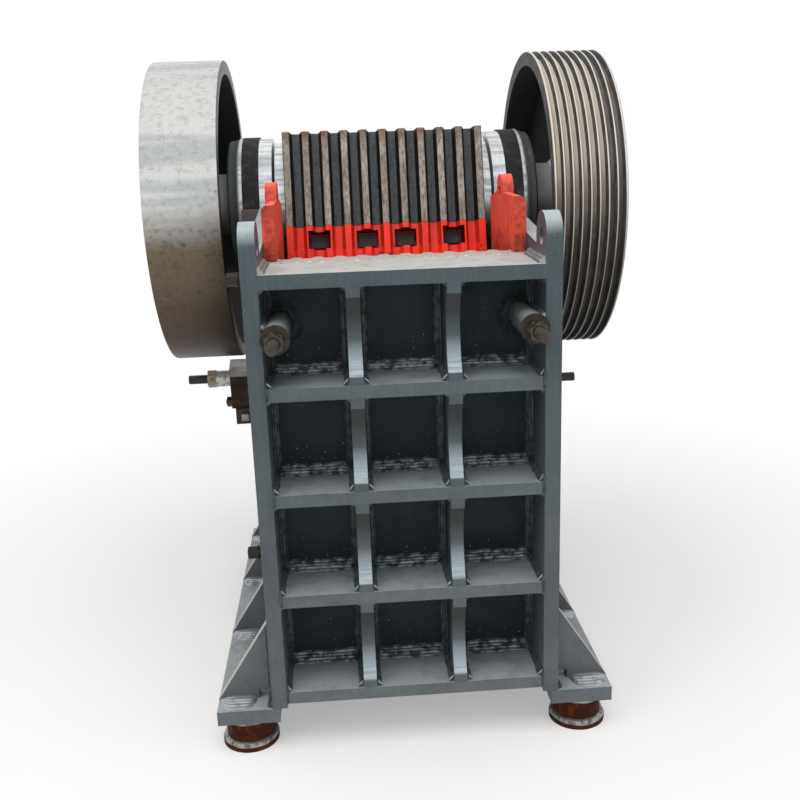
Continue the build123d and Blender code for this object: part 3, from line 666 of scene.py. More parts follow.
@dataclass(frozen=True)
class SandCasting(Finish):
    """Sand-cast steel or iron with a thin dark paint: grainy, dull, with oily darker places."""

    name: str = "sand_casting"
    base: str = "#414342"
    oil: str = "#232424"
    rub: str = "#777875"
    rough: float = 0.6
    grain: float = 0.35

    def shade(self, tree: Tree) -> None:
        """Sand grain of about 1.5 mm, drawn at 3 mm so that it shows, oil clouds and rubbed edges.

        Args:
            tree: the material's node tree.
        """
        worn, rounded = edges(tree, 2.5)
        sand = patches(tree, 3.0, 0.3, 0.7, detail=3.0, seed=1.0)
        oil = patches(tree, 60.0, 0.5, 0.7, seed=2.0)
        rub = patches(tree, 22.0, 0.6, 0.78, seed=5.0)
        layers = [(oil, self.oil, 0.6), (rub, self.rub, 0.3), (sand, self.rub, 0.12), (worn, self.rub, 0.7)]
        colour = layered(tree, self.base, layers)
        normal = relief(tree, rounded, [(sand, self.grain), (oil, 0.4)])
        close(tree, colour, mixed(tree, oil, self.rough, self.rough - 0.2), 0.15, normal)


@dataclass(frozen=True)
class Manganese(Finish):
    """Cast manganese steel jaw plate: beige crests, flanks left near black as painted shade, and grey
    valleys.

    The zones follow the teeth's own spacing along X: crest within 6.5 mm of its middle, flank up
    to 12.8 mm, valley beyond.
    """

    name: str = "manganese_steel"
    crest: str = "#8e847a"
    flank_shade: str = "#12100f"
    valley: str = "#56595b"
    stain: str = "#6e4a2c"
    top_z: float = 1108.0
    pitch: float = 40.6
    rough: float = 0.55

    def shade(self, tree: Tree) -> None:
        """Zones by X, brown top ends, upright streaks, pale specks and casting grain.

        Args:
            tree: the material's node tree.
        """
        x = add(tree, "SeparateXYZ", {0: add(tree, "TexCoord", out="Object")}, "X")
        moved = add(tree, "Math", {"operation": "ADD", 0: x, 1: self.pitch})
        turns = add(tree, "Math", {"operation": "PINGPONG", 0: moved, 1: self.pitch / 2000.0})
        crest = between(tree, turns, 0.0071, 0.0061)
        valley = between(tree, turns, 0.0122, 0.0131)
        worn, rounded = edges(tree, 1.6, 0.6)
        streak = patches(tree, 4.0, 0.42, 0.68, (1.0, 1.0, 14.0), 4.0, 3.0)
        cast = patches(tree, 5.0, 0.35, 0.7, detail=5.0, seed=6.0)
        speck = patches(tree, 2.6, 0.66, 0.73, detail=2.0, seed=12.0)
        ends = times(tree, span(tree, "Z", self.top_z - 26.0, self.top_z), patches(tree, 16.0, 0.3, 0.6))
        tone = patches(tree, 36.0, 0.4, 0.62, (1.0, 2.0, 2.0), 5.0, 15.0)
        grease = patches(tree, 46.0, 0.62, 0.7, (0.7, 2.0, 2.0), 5.0, 19.0)
        layers = [(valley, self.valley, 1.0), (times(tree, valley, cast), "#303233", 0.5)]
        layers += [(crest, self.crest, 1.0)]
        layers += [(times(tree, crest, tone), "#bdb9b3", 0.6), (times(tree, crest, streak), "#3f3832", 0.7)]
        layers += [(times(tree, ends, crest), self.stain, 0.9), (times(tree, speck, crest), "#e9e1d4", 0.8)]
        layers += [(times(tree, speck, valley), "#9a9d9e", 0.5)]
        layers += [(times(tree, streak, valley), "#26282a", 0.5)]
        layers += [(times(tree, worn, crest), "#c4beb4", 0.5), (grease, "#141312", 0.6)]
        # The flanks keep this near-black base: painted shade on the steep sides of the teeth.
        colour = layered(tree, self.flank_shade, layers)
        close(tree, colour, self.rough, 0.25, relief(tree, rounded, [(cast, 0.6), (streak, 0.25)]))


@dataclass(frozen=True)
class BrushedRed(Finish):
    """Red primer laid on by brush: strong, slightly streaky colour, with dark worn and greasy places."""

    name: str = "brushed_red"
    base: str = "#e32414"
    light: str = "#f0563c"
    dark: str = "#7e1d13"
    grime: str = "#3a2420"
    grime_share: float = 0.5
    worn_level: float = 0.66
    low_dirt: float = 0.0
    front_shade: float = 0.0
    window_shade: float = 0.0
    rough: float = 0.38

    def shade(self, tree: Tree) -> None:
        """Brush marks along Z, thin and thick paint, grime patches and chipped edges.

        Args:
            tree: the material's node tree.
        """
        worn, rounded = edges(tree, 2.0)
        brush = patches(tree, 3.4, 0.42, 0.72, (1.0, 1.0, 16.0), 3.0, 2.0)
        thick = patches(tree, 34.0, 0.45, 0.75, (1.0, 1.0, 2.0), 4.0, 5.0)
        grime = patches(tree, 17.0, self.worn_level, self.worn_level + 0.07, (1.0, 1.0, 1.7), 6.0, 8.0)
        layers = [(thick, self.dark, 0.35), (brush, self.light, 0.4), (grime, self.grime, self.grime_share)]
        if self.low_dirt:
            foot = times(tree, span(tree, "Z", 925.0, 885.0), patches(tree, 12.0, 0.35, 0.6, seed=3.0))
            layers.append((foot, "#2a1c19", self.low_dirt))
        if self.window_shade:
            # Painted shade in the jaw plate's windows: faces turned down and faces turned sideways are
            # darkened within their height.
            level = times(tree, span(tree, "Z", 874.0, 878.0), span(tree, "Z", 950.0, 946.0))
            roof = times(tree, level, facing(tree, "Z", -0.5, -0.8))
            sides = times(tree, level, sideways(tree, 0.93, 0.98))
            layers += [(roof, "#1d0b09", self.window_shade), (sides, "#1d0b09", self.window_shade)]
        if self.front_shade:
            front = times(tree, facing(tree, "Y", -0.3, -0.8), patches(tree, 9.0, 0.2, 0.6, seed=11.0))
            layers.append((front, "#7d231a", self.front_shade))
        layers.append((worn, "#4a3430", 0.6))
        colour = layered(tree, self.base, layers)
        normal = relief(tree, rounded, [(brush, 0.12), (thick, 0.4), (grime, 0.2)])
        close(tree, colour, mixed(tree, thick, self.rough, self.rough + 0.15), 0.0, normal)


@dataclass(frozen=True)
class RustySteel(Finish):
    """Mild steel under a tight coat of rust: brown-red, rough, with orange dust and dark scale."""

    name: str = "rusty_steel"
    base: str = "#4a2817"
    dust: str = "#8a5230"
    scale: str = "#26150e"
    bright: str = "#6b5b50"
    rough: float = 0.78

    def shade(self, tree: Tree) -> None:
        """Rust clouds at two sizes, dark scale and edges rubbed to a duller brown.

        Args:
            tree: the material's node tree.
        """
        worn, rounded = edges(tree, 1.8)
        dust = patches(tree, 14.0, 0.48, 0.72, seed=1.0)
        scale = patches(tree, 26.0, 0.48, 0.66, seed=4.0)
        pits = patches(tree, 2.6, 0.35, 0.7, detail=4.0, seed=6.0)
        layers = [(scale, self.scale, 0.6), (dust, self.dust, 0.55), (pits, self.scale, 0.25)]
        layers.append((worn, self.bright, 0.8))
        colour = layered(tree, self.base, layers)
        close(tree, colour, self.rough, 0.05, relief(tree, rounded, [(pits, 0.35), (scale, 0.4)]), 0.2)


@dataclass(frozen=True)
class OiledFastener(Finish):
    """Nuts, washers and rods as bought: zinc-brown steel, greasy, with dirt in the threads."""

    name: str = "oiled_fastener"
    base: str = "#857a6c"
    dirt: str = "#3f3328"
    shine: str = "#c0b9ad"
    rough: float = 0.36
    metal: float = 0.8

    def shade(self, tree: Tree) -> None:
        """Grease clouds and rubbed corners.

        Args:
            tree: the material's node tree.
        """
        worn, rounded = edges(tree, 1.5, 0.1)
        grease = patches(tree, 12.0, 0.42, 0.66, seed=3.0)
        fine = patches(tree, 2.0, 0.4, 0.75, seed=5.0)
        layers = [(grease, self.dirt, 0.6), (fine, self.dirt, 0.3), (worn, self.shine, 0.8)]
        colour = layered(tree, self.base, layers)
        rough = mixed(tree, grease, self.rough + 0.12, self.rough - 0.06)
        close(tree, colour, rough, self.metal, relief(tree, rounded, [(fine, 0.1)]))


@dataclass(frozen=True)
class AdjusterSteel(Finish):
    """Wedge screw as hands leave it: a wiped bright sleeve, a brown nut and a greasy black thread."""

    name: str = "adjuster_steel"
    sleeve: str = "#d6d4cf"
    nut: str = "#8a776a"
    thread: str = "#1d1a18"
    sleeve_end: float = 421.0
    nut_end: float = 443.0

    def shade(self, tree: Tree) -> None:
        """Zones along the screw, grease clouds, the nut's upward faces painted pale as painted light, and
        bright corners.

        Args:
            tree: the material's node tree.
        """
        _, along = polar(tree, SIZE.axis_z)
        worn, rounded = edges(tree, 1.2, 0.1)
        grease = patches(tree, 9.0, 0.5, 0.62, seed=3.0)
        nut = between(tree, along, self.sleeve_end, self.sleeve_end + 0.3)
        thread = between(tree, along, self.nut_end, self.nut_end + 0.3)
        # The nut's upward faces are painted pale: painted light.
        upper = times(tree, nut, facing(tree, "Z", 0.2, 0.7))
        layers = [(grease, "#2c2723", 0.6), (nut, self.nut, 0.9), (times(tree, nut, grease), "#574338", 0.5)]
        layers += [(upper, "#cfc3b6", 0.7), (thread, self.thread, 0.95), (worn, "#cbc6bf", 0.4)]
        colour = layered(tree, self.sleeve, layers)
        close(tree, colour, mixed(tree, grease, 0.36, 0.6), 0.35, rounded)


@dataclass(frozen=True)
class WeldMetal(Finish):
    """Arc weld laid over paint: silvery ripples, with soot and thin paint between the passes."""

    name: str = "weld_metal"
    base: str = "#a3a7a8"
    soot: str = "#4a4c4c"
    soot_level: float = 0.5
    soot_share: float = 0.75
    rough: float = 0.38
    metal: float = 0.8

    def shade(self, tree: Tree) -> None:
        """Soot patches and a fine grain on bright metal.

        Args:
            tree: the material's node tree.
        """
        soot = patches(tree, 13.0, self.soot_level, self.soot_level + 0.16, seed=2.0)
        fine = patches(tree, 1.8, 0.35, 0.7, seed=6.0)
        colour = layered(tree, self.base, [(fine, "#6f7475", 0.4), (soot, self.soot, self.soot_share)])
        rough = mixed(tree, soot, self.rough, self.rough + 0.2)
        metal = mixed(tree, soot, self.metal, self.metal * 0.3)
        close(tree, colour, rough, metal, relief(tree, None, [(fine, 0.1)]))


@dataclass
class Shell:
    """A surface as points in millimetres and four-cornered faces."""

    points: np.ndarray
    faces: np.ndarray


def grid_faces(rows: int, columns: int, wrap_rows: bool = False, wrap_columns: bool = True) -> np.ndarray:
    """Corner numbers of the quads between the points of a grid.

    Args:
        rows: points along the first parameter.
        columns: points along the second.
        wrap_rows: the last row joins the first.
        wrap_columns: the last column joins the first.

    Returns:
        An array of quads, four point numbers each.
    """
    r = np.arange(rows if wrap_rows else rows - 1)[:, None]
    c = np.arange(columns if wrap_columns else columns - 1)[None, :]
    r2, c2 = (r + 1) % rows, (c + 1) % columns
    corners = [r * columns + c, r * columns + c2, r2 * columns + c2, r2 * columns + c]
    return np.stack(np.broadcast_arrays(*corners), axis=-1).reshape(-1, 4)


def joined(shells: Sequence[Shell]) -> Shell:
    """Joins shells, with their face numbers moved along.

    Args:
        shells: the shells to join, at least one.

    Returns:
        One shell of all their points and faces.
    """
    counts = np.cumsum([0] + [len(s.points) for s in shells[:-1]])
    points = np.concatenate([s.points for s in shells])
    faces = np.concatenate([s.faces + n for s, n in zip(shells, counts)])
    return Shell(points, faces)


def mirrored(shell: Shell) -> Shell:
    """The same shell on the flywheel side, its faces turned over."""
    return Shell(shell.points * (-1.0, 1.0, 1.0), shell.faces[:, ::-1])


def both_sides(shells: Sequence[Shell]) -> list[Shell]:
    """Shells and their mirror images."""
    return list(shells) + [mirrored(s) for s in shells]


def piece(
    name: str,
    shells: Sequence[Shell],
    finish: Finish,
    body: Body,
    sharp: float = 40.0,
) -> bpy.types.Object:
    """Makes one piece of the scene from shells, with its place in its mesh.

    Args:
        name: the piece's name.
        shells: the surfaces that it is made of.
        finish: what it is finished with.
        body: the body that it rides on.
        sharp: edges that turn more than this many degrees stay sharp.

    Returns:
        The new object.
    """
    shell = joined(shells)
    mesh = bpy.data.meshes.new(name)
    mesh.vertices.add(len(shell.points))
    mesh.vertices.foreach_set("co", place(shell.points).astype(np.float32).ravel())
    mesh.loops.add(shell.faces.size)
    mesh.loops.foreach_set("vertex_index", shell.faces.astype(np.int32).ravel())
    mesh.polygons.add(len(shell.faces))
    mesh.polygons.foreach_set("loop_start", np.arange(0, shell.faces.size, 4, dtype=np.int32))
    mesh.update(calc_edges=True)
    work = bmesh.new()
    work.from_mesh(mesh)
    bmesh.ops.remove_doubles(work, verts=work.verts, dist=1e-6)
    bmesh.ops.dissolve_degenerate(work, edges=work.edges, dist=1e-7)
    bmesh.ops.recalc_face_normals(work, faces=work.faces)
    for face in work.faces:
        face.smooth = True
    work.to_mesh(mesh)
    work.free()
    mesh.set_sharp_from_angle(angle=math.radians(sharp))
    thing = bpy.data.objects.new(name, mesh)
    bpy.context.scene.collection.objects.link(thing)
    mesh.materials.append(finish.material())
    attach(thing, body.value)
    LOG.info("%s: %d faces on the %s", name, len(mesh.polygons), body.value)
    return thing


def dress(nodes: dict[str, Finish]) -> None:
    """Gives CAD nodes their finishes.

    Args:
        nodes: the finish of each node, by the node's name.
    """
    for name, finish in nodes.items():
        mesh_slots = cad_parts[name].material_slots
        for index in range(len(mesh_slots)):
            mesh_slots[index].material = finish.material()


@dataclass(frozen=True)
class Bead:
    """Section and ripple of a weld bead, in mm.

    Across, a corner bead goes straight from one plate to the other, bulged by a sine and parted
    into passes by the size of a sine of as many half waves. A flat bead is half an ellipse. Along,
    a saw-tooth of the ripple's pitch lifts the face, later in the middle than at the sides, and
    both ends sink into the corner as a quarter circle.
    """

    leg_a: float = 9.0
    leg_b: float = 9.0
    bulge: float = 1.0
    passes: int = 1
    groove: float = 1.0
    pitch: float = 5.0
    ripple: float = 0.5
    steps: int = 3
    seat: Seat = Seat.CORNER
    closed: bool = False

    def along(self, path: np.ndarray, a: np.ndarray, b: np.ndarray, seed: float = 0.0) -> Shell:
        """Lays the bead along a path.

        Args:
            path: points of the corner or line that it follows.
            a: direction of the first plate away from the corner, one for all points or one each.
            b: direction of the second plate, or away from the surface for a flat bead.
            seed: shifts the waviness, so that no two beads are alike.

        Returns:
            The bead as a closed shell.
        """
        path = np.asarray(path, float)
        side_a = np.broadcast_to(np.asarray(a, float), path.shape)
        side_b = np.broadcast_to(np.asarray(b, float), path.shape)
        run = np.concatenate([[0.0], np.cumsum(np.linalg.norm(np.diff(path, axis=0), axis=1))])
        count = max(6, int(run[-1] / self.pitch * self.steps))
        s = np.linspace(0.0, run[-1], count + 1)[: count if self.closed else count + 1]
        pick = [np.stack([np.interp(s, run, v[:, k]) for k in range(3)], 1) for v in (path, side_a, side_b)]
        centre, va, vb = pick
        t = np.linspace(0.0, 1.0, 4 * self.passes + 3)[None, :]
        dome = np.sin(np.pi * t)
        part = np.abs(np.sin(self.passes * np.pi * t))
        wave = 1.0 + 0.05 * np.sin(s / 6.3 + seed * 2.1) + 0.05 * np.sin(s / 15.1 + seed * 5.7)
        saw = np.mod(s[:, None] / self.pitch + 0.4 * part + seed, 1.0)
        lift = self.bulge * dome + self.groove * (part - 1.0) * dome**0.4 + self.ripple * saw * dome**0.5
        if self.seat is Seat.CORNER:
            size = math.hypot(self.leg_a, self.leg_b)
            u = self.leg_a * (1.0 - t) + lift * self.leg_b / size
            v = self.leg_b * t + lift * self.leg_a / size
        else:
            u = self.leg_a * np.cos(np.pi * t) + 0.0 * lift
            v = self.leg_b * dome + lift
        u, v = u * wave[:, None], v * wave[:, None]
        if not self.closed:
            reach = max(self.leg_a, self.leg_b) * 0.8
            near = np.clip(np.minimum(s, run[-1] - s) / reach, 0.0, 1.0)
            fade = np.sqrt(near * (2.0 - near))[:, None]
            u, v = u * fade, v * fade
        sunk = 0.4 if self.closed else 0.4 * fade
        root_u = -sunk * np.ones((len(s), 1)) if self.seat is Seat.CORNER else np.zeros((len(s), 1))
        u = np.concatenate([u, root_u], axis=1)
        v = np.concatenate([v, -sunk * np.ones((len(s), 1))], axis=1)
        points = centre[:, None, :] + u[..., None] * va[:, None, :] + v[..., None] * vb[:, None, :]
        faces = grid_faces(len(s), u.shape[1], wrap_rows=self.closed)
        return Shell(points.reshape(-1, 3), faces)


def around(
    along: np.ndarray, radius: np.ndarray, angle: np.ndarray, centre: Sequence[float], axis: str
) -> np.ndarray:
    """Points about an axis: a place along it, and a radius times the cosine and sine of an angle.

    Args:
        along: place along the axis, counted from the centre.
        radius: distance from the axis.
        angle: angle about the axis.
        centre: a point on the axis.
        axis: X, Y or Z.

    Returns:
        A grid of points, as wide as the three arrays make it together.
    """
    first, second, third = {"X": (0, 1, 2), "Y": (1, 2, 0), "Z": (2, 0, 1)}[axis]
    points = np.zeros((*np.broadcast_shapes(along.shape, radius.shape, angle.shape), 3))
    points[..., first] = along
    points[..., second] = radius * np.cos(angle)
    points[..., third] = radius * np.sin(angle)
    return points + np.asarray(centre, float)


def spun(
    profile: Sequence[tuple[float, float]],
    centre: Sequence[float],
    axis: str,
    steps: int,
    turn: float = 0.0,
) -> Shell:
    """A body of revolution: each point of a closed profile goes round a circle of its own radius.

    Args:
        profile: place along the axis and radius of each point, in order round the section.
        centre: a point on the axis; the profile's first numbers count from it.
        axis: X, Y or Z.
        steps: points round the circle; four of them make a square bar.
        turn: angle of the first point.

    Returns:
        The closed ring.
    """
    along, radius = np.array(profile, float).T
    angle = np.linspace(0.0, 2.0 * np.pi, steps, endpoint=False)[None, :] + turn
    points = around(along[:, None], radius[:, None], angle, centre, axis)
    wrap = bool(radius[0] > 1e-6 or radius[-1] > 1e-6)
    return Shell(points.reshape(-1, 3), grid_faces(len(along), steps, wrap_rows=wrap))


@dataclass(frozen=True)
class HexNut:
    """A hexagon nut with its corners turned off to a 30 degree cone at both faces.

    Round the nut, the wall's distance from the axis is the hexagon's: the flat's distance over the
    cosine of the angle from the flat's middle. Each face drops with that distance beyond the cone's
    start by the tangent of 30 degrees.
    """

    flat: float
    height: float
    bore: float
    turn: float = 0.0

    def at(self, centre: Sequence[float], axis: str, way: float = 1.0) -> Shell:
        """Places the nut.

        Args:
            centre: middle of the face it is counted from.
            axis: X, Y or Z, along which the nut lies.
            way: 1 or -1, the side of the centre it lies on.

        Returns:
            The nut as a closed ring.
        """
        angle = np.linspace(0.0, 2.0 * np.pi, 72, endpoint=False)
        slice_turn = np.mod(angle, np.pi / 3.0) - np.pi / 6.0
        apothem = self.flat / 2.0
        wall = apothem / np.cos(slice_turn)
        start = apothem * 0.97
        drop = (wall - start) * math.tan(math.radians(30.0))
        one = np.ones_like(angle)
        rows = [
            (self.bore * one, 1.0 * one),
            ((self.bore + 1.2) * one, 0.0 * one),
            (start * one, 0.0 * one),
            (wall, drop),
            (wall, self.height - drop),
            (start * one, self.height * one),
            ((self.bore + 1.2) * one, self.height * one),
            (self.bore * one, self.height - 1.0 * one),
        ]
        radius = np.stack([r for r, _ in rows])
        along = np.stack([h for _, h in rows]) * way
        points = around(along, radius, angle + self.turn, centre, axis)
        return Shell(points.reshape(-1, 3), grid_faces(len(rows), len(angle), wrap_rows=True))


@dataclass(frozen=True)
class Thread:
    """A threaded bar: its radius drops with a triangle wave of the length less the turn.

    The free end is turned to a small cone and closed by a flat face.
    """

    radius: float
    pitch: float = 2.5
    depth: float = 1.4

    def between(self, start: Sequence[float], length: float, axis: str) -> Shell:
        """Cuts the thread over a length.

        Args:
            start: middle of the end that is inside the machine.
            length: how far the bar goes along the axis, less than 0 for backwards.
            axis: X, Y or Z.

        Returns:
            The bar as a closed shell.
        """
        rows = int(abs(length) / self.pitch * 6)
        share = np.linspace(0.0, 1.0, rows)
        angle = np.linspace(0.0, 2.0 * np.pi, 24, endpoint=False)
        travel = share[:, None] * abs(length)
        phase = np.mod(travel / self.pitch - angle[None, :] / (2.0 * np.pi), 1.0)
        radius = self.radius - self.depth * (1.0 - np.abs(2.0 * phase - 1.0))
        cone = np.clip((abs(length) - travel) / 2.0, 0.0, 1.0)
        radius = np.minimum(radius, self.radius - self.depth * (1.0 - cone))
        radius = np.concatenate([0.0 * radius[:1], radius, 0.0 * radius[-1:]])
        along = np.concatenate([travel[:1], travel, travel[-1:]]) * math.copysign(1.0, length)
        points = around(along, radius, angle, start, axis)
        return Shell(points.reshape(-1, 3), grid_faces(len(radius), len(angle)))


def droplets(centres: np.ndarray, radii: np.ndarray, normal: Sequence[float]) -> Shell:
    """Weld spatter: low domes on a surface, all from one grid of a quarter turn by a full turn.

    Args:
        centres: where each drop lies.
        radii: radius of each drop.
        normal: direction away from the surface.

    Returns:
        All drops as one shell.
    """
    up = np.asarray(normal, float)
    side = np.cross(up, (0.3, 0.5, 0.8))
    side /= np.linalg.norm(side)
    other = np.cross(up, side)
    polar = np.array([0.0, 0.5, 1.0, 1.57, 1.57])
    wide = np.sin(polar) * (1.0, 1.0, 1.0, 1.0, 0.0)
    tall = np.cos(polar) * 0.75 - (0.0, 0.0, 0.0, 0.1, 0.1)
    turn = np.linspace(0.0, 2.0 * np.pi, 7, endpoint=False)
    ring = np.cos(turn)[:, None] * side + np.sin(turn)[:, None] * other
    dome = wide[:, None, None] * ring[None] + tall[:, None, None] * up
    points = centres[:, None, None, :] + radii[:, None, None, None] * dome[None]
    quads = grid_faces(len(polar), len(turn))
    faces = quads[None] + (np.arange(len(centres)) * len(polar) * len(turn))[:, None, None]
    return Shell(points.reshape(-1, 3), faces.reshape(-1, 4))


def line(start: Sequence[float], end: Sequence[float]) -> np.ndarray:
    """A straight path between two points."""
    return np.array([start, end], float)


def circle(centre: Sequence[float], radius: float, steps: int = 96) -> tuple[np.ndarray, np.ndarray]:
    """A circle about a Z axis.

    Args:
        centre: its middle.
        radius: its radius.
        steps: stretches round it.

    Returns:
        Its points, the last one the first again, and the outward direction at each.
    """
    angle = np.linspace(0.0, 2.0 * np.pi, steps + 1)
    out = np.stack([np.cos(angle), np.sin(angle), 0.0 * angle], axis=1)
    return np.asarray(centre, float) + radius * out, out


UP = (0.0, 0.0, 1.0)
DOWN = (0.0, 0.0, -1.0)
FORE = (0.0, -1.0, 0.0)
REAR = (0.0, 1.0, 0.0)
RIGHT = (1.0, 0.0, 0.0)
LEFT = (-1.0, 0.0, 0.0)

PLATE = SatinPaint(name="satin_paint_plate")
# Pale rib tops, paler on the lower ribs: dust, and painted light from above.
CELL = SatinPaint(
    name="satin_paint_cell", flat_low="#a3a8ac", flat_high="#8c9397", inside="#18252c", recess_shade_share=0.93
)
BACK = SatinPaint(name="satin_paint_back", inside="#1b2930", recess_shade_share=0.93, mirror=0.2)
STIFFENER = SatinPaint(
    name="satin_paint_flame_cut", inside="#18252c", recess_shade_share=0.9, cut_lines_and_light=0.95, flat_high="#6d7679"
)
FLANGE = SatinPaint(
    name="satin_paint_bare_top",
    high="#414d52",
    flat_high="#b8b7b2",
    flat_low="#b8b7b2",
    flat=0.95,
    wear="#d9d9d6",
)
SIDE = SatinPaint(
    name="satin_paint_side",
    high="#404c51",
    low="#50565a",
    flat_high="#a9b2b6",
    flat_low="#7b7f83",
    flat_from=(0.12, 0.75),
)
GUSSET = SatinPaint(
    name="satin_paint_gusset", flat_high="#b7b0a6", flat_low="#b7b0a6", flat_from=(0.25, 0.45)
)
FOOT = SatinPaint(name="satin_paint_foot", flat_low="#a0a5a9", flat_high="#a0a5a9", low="#5a6066")
# The sleeves' upper faces are painted pale: a painted highlight.
SLEEVE = SatinPaint(
    name="satin_paint_sleeve",
    high="#475051",
    flat_high="#8b9492",
    flat_from=(0.3, 0.9),
    wear="#c5d0ce",
    wear_share=0.9,
)
NUTS = OiledFastener(base="#5c544b", dirt="#2c251f", shine="#e2dccf")
BRIGHT_NUT = OiledFastener(name="bright_nut", base="#a8a49c", dirt="#4a453f", shine="#e6e3dc")
ROD = OiledFastener(name="plain_rod", base="#4b453e", dirt="#2f2a26", shine="#d9d3c7", metal=0.5)
WASHER = RustySteel(name="rusty_washer", base="#3d3733", dust="#5b544d", scale="#231f1c", bright="#e4e0d6")
SCREW = OiledFastener(name="adjuster_screw", base="#3b3734", dirt="#1c1917", shine="#cbc6bf", metal=0.5)
PAINTED_WELD = WeldMetal(
    name="weld_painted", base="#434c50", soot="#262c2f", soot_level=0.45, rough=0.42, metal=0.1
)
DARK_WELD = WeldMetal(name="weld_dark", base="#3d464a", soot="#12171a", soot_level=0.42, metal=0.3)
FLOOR_WELD = WeldMetal(
    name="weld_floor", base="#8b98a0", soot="#161c20", soot_level=0.43, soot_share=0.88, metal=0.45
)
BRIGHT_WELD = WeldMetal(name="weld_bright")
FOOT_WELD = WeldMetal(name="weld_foot", base="#b6bcc0", soot="#565c60", soot_level=0.5, soot_share=0.7)
SILVER = WeldMetal(name="weld_spatter", base="#d8dada", soot_share=0.15, metal=0.9)


@dataclass
class Studio:
    """Camera at the photograph's place, soft lamps, white surroundings and a pale floor."""

    eye: tuple[float, float, float] = (-0.1039, -2.03875, 1.1055)
    yaw: float = 0.058
    pitch: float = 0.269
    roll: float = 0.034
    focal_px: float = 966.45
    image_px: float = 800.0
    surround: float = 0.56
    fade: tuple[float, float] = (0.75, 1.9)
    lamps: tuple[tuple[str, tuple[float, float, float], float, float], ...] = (
        ("lamp_top", (-0.3, -1.0, 3.3), 2.6, 64.0),
        ("lamp_left", (-2.6, -2.4, 2.0), 2.0, 20.0),
        ("lamp_right", (2.6, -1.8, 1.8), 2.0, 14.0),
    )

    def camera(self) -> None:
        """Aims the camera: yaw to the right, pitch down, then roll about the line of sight."""
        ahead = np.array(
            [
                math.sin(self.yaw) * math.cos(self.pitch),
                math.cos(self.yaw) * math.cos(self.pitch),
                -math.sin(self.pitch),
            ]
        )
        right = np.array([math.cos(self.yaw), -math.sin(self.yaw), 0.0])
        down = np.cross(ahead, right)
        across = math.cos(self.roll) * right + math.sin(self.roll) * down
        below = -math.sin(self.roll) * right + math.cos(self.roll) * down
        turn = Matrix(np.column_stack([across, -below, -ahead]).tolist()).to_4x4()
        data = bpy.data.cameras.new("camera")
        data.sensor_width = 36.0
        data.lens = self.focal_px / self.image_px * 36.0
        data.clip_start, data.clip_end = 0.05, 60.0
        camera = bpy.data.objects.new("camera", data)
        camera.matrix_world = Matrix.Translation(Vector(self.eye)) @ turn
        bpy.context.scene.collection.objects.link(camera)
        bpy.context.scene.camera = camera

    def lamp(self, name: str, at: Sequence[float], size: float, power: float) -> None:
        """Adds a square soft lamp that looks at the machine's middle, and that gloss doesn't mirror.

        Args:
            name: the lamp's name.
            at: its place in metres.
            size: its side in metres.
            power: its power in watts.
        """
        data = bpy.data.lights.new(name, "AREA")
        data.shape = "SQUARE"
        data.size = size
        data.energy = power
        lamp = bpy.data.objects.new(name, data)
        lamp.location = at
        lamp.visible_glossy = False
        lamp.rotation_euler = (Vector((0.0, 0.0, 0.6)) - Vector(at)).to_track_quat("-Z", "Y").to_euler()
        bpy.context.scene.collection.objects.link(lamp)

    def seen(self, tree: Tree) -> Node:
        """Tells which rays see the white background.

        Args:
            tree: the node tree of the world or of a material.

        Returns:
            1 for rays from the camera and those that gloss or glass send on, else 0.
        """
        path = add(tree, "LightPath").node
        first = add(
            tree,
            "Math",
            {"operation": "MAXIMUM", 0: path.outputs["Is Camera Ray"], 1: path.outputs["Is Glossy Ray"]},
        )
        return add(
            tree, "Math", {"operation": "MAXIMUM", 0: first, 1: path.outputs["Is Transmission Ray"]}
        )

    def world(self) -> None:
        """White to the camera and to gloss, a plain soft level for diffuse light."""
        world = bpy.data.worlds.new("surround")
        world.use_nodes = True
        tree = world.node_tree
        tree.nodes.clear()
        strength = mixed(tree, self.seen(tree), self.surround, 1.0)
        light = add(tree, "Background", {"Color": (1.0, 1.0, 1.0, 1.0), "Strength": strength})
        add(tree, "OutputWorld", {"Surface": light})
        bpy.context.scene.world = world

    def floor(self) -> None:
        """A pale floor that takes the shadow near the machine and fades into white further out."""
        steps, rings = 96, np.array([0.0, 0.6, 1.2, 2.4, 4.8, 12.0])
        angle = np.linspace(0.0, 2.0 * np.pi, steps, endpoint=False)
        points = np.stack(
            [rings[:, None] * np.cos(angle), rings[:, None] * np.sin(angle), 0.0 * rings[:, None] * angle],
            axis=-1,
        ).reshape(-1, 3)
        mesh = bpy.data.meshes.new("floor")
        mesh.from_pydata(points.tolist(), [], grid_faces(len(rings), steps).tolist())
        material = bpy.data.materials.new("pale_floor")
        material.use_nodes = True
        tree = material.node_tree
        tree.nodes.clear()
        spot = add(tree, "TexCoord", out="Object")
        far = add(tree, "VectorMath", {"operation": "LENGTH", 0: spot}, "Value")
        fade = add(tree, "MapRange", {"Value": far, "From Min": self.fade[0], "From Max": self.fade[1]})
        share = times(tree, self.seen(tree), mixed(tree, fade, 0.35, 1.0))
        plain = add(tree, "BsdfDiffuse", {"Color": linear("#f4f3f1")})
        white = add(tree, "Emission", {"Color": (1.0, 1.0, 1.0, 1.0), "Strength": 1.0})
        add(tree, "OutputMaterial", {"Surface": add(tree, "MixShader", {0: share, 1: plain, 2: white})})
        mesh.materials.append(material)
        floor = bpy.data.objects.new("floor", mesh)
        bpy.context.scene.collection.objects.link(floor)

    def build(self) -> None:
        """Sets the view, the camera, the lamps, the surroundings and the floor."""
        bpy.context.scene.view_settings.view_transform = "Standard"
        self.camera()
        for name, at, size, power in self.lamps:
            self.lamp(name, at, size, power)
        self.world()
        self.floor()


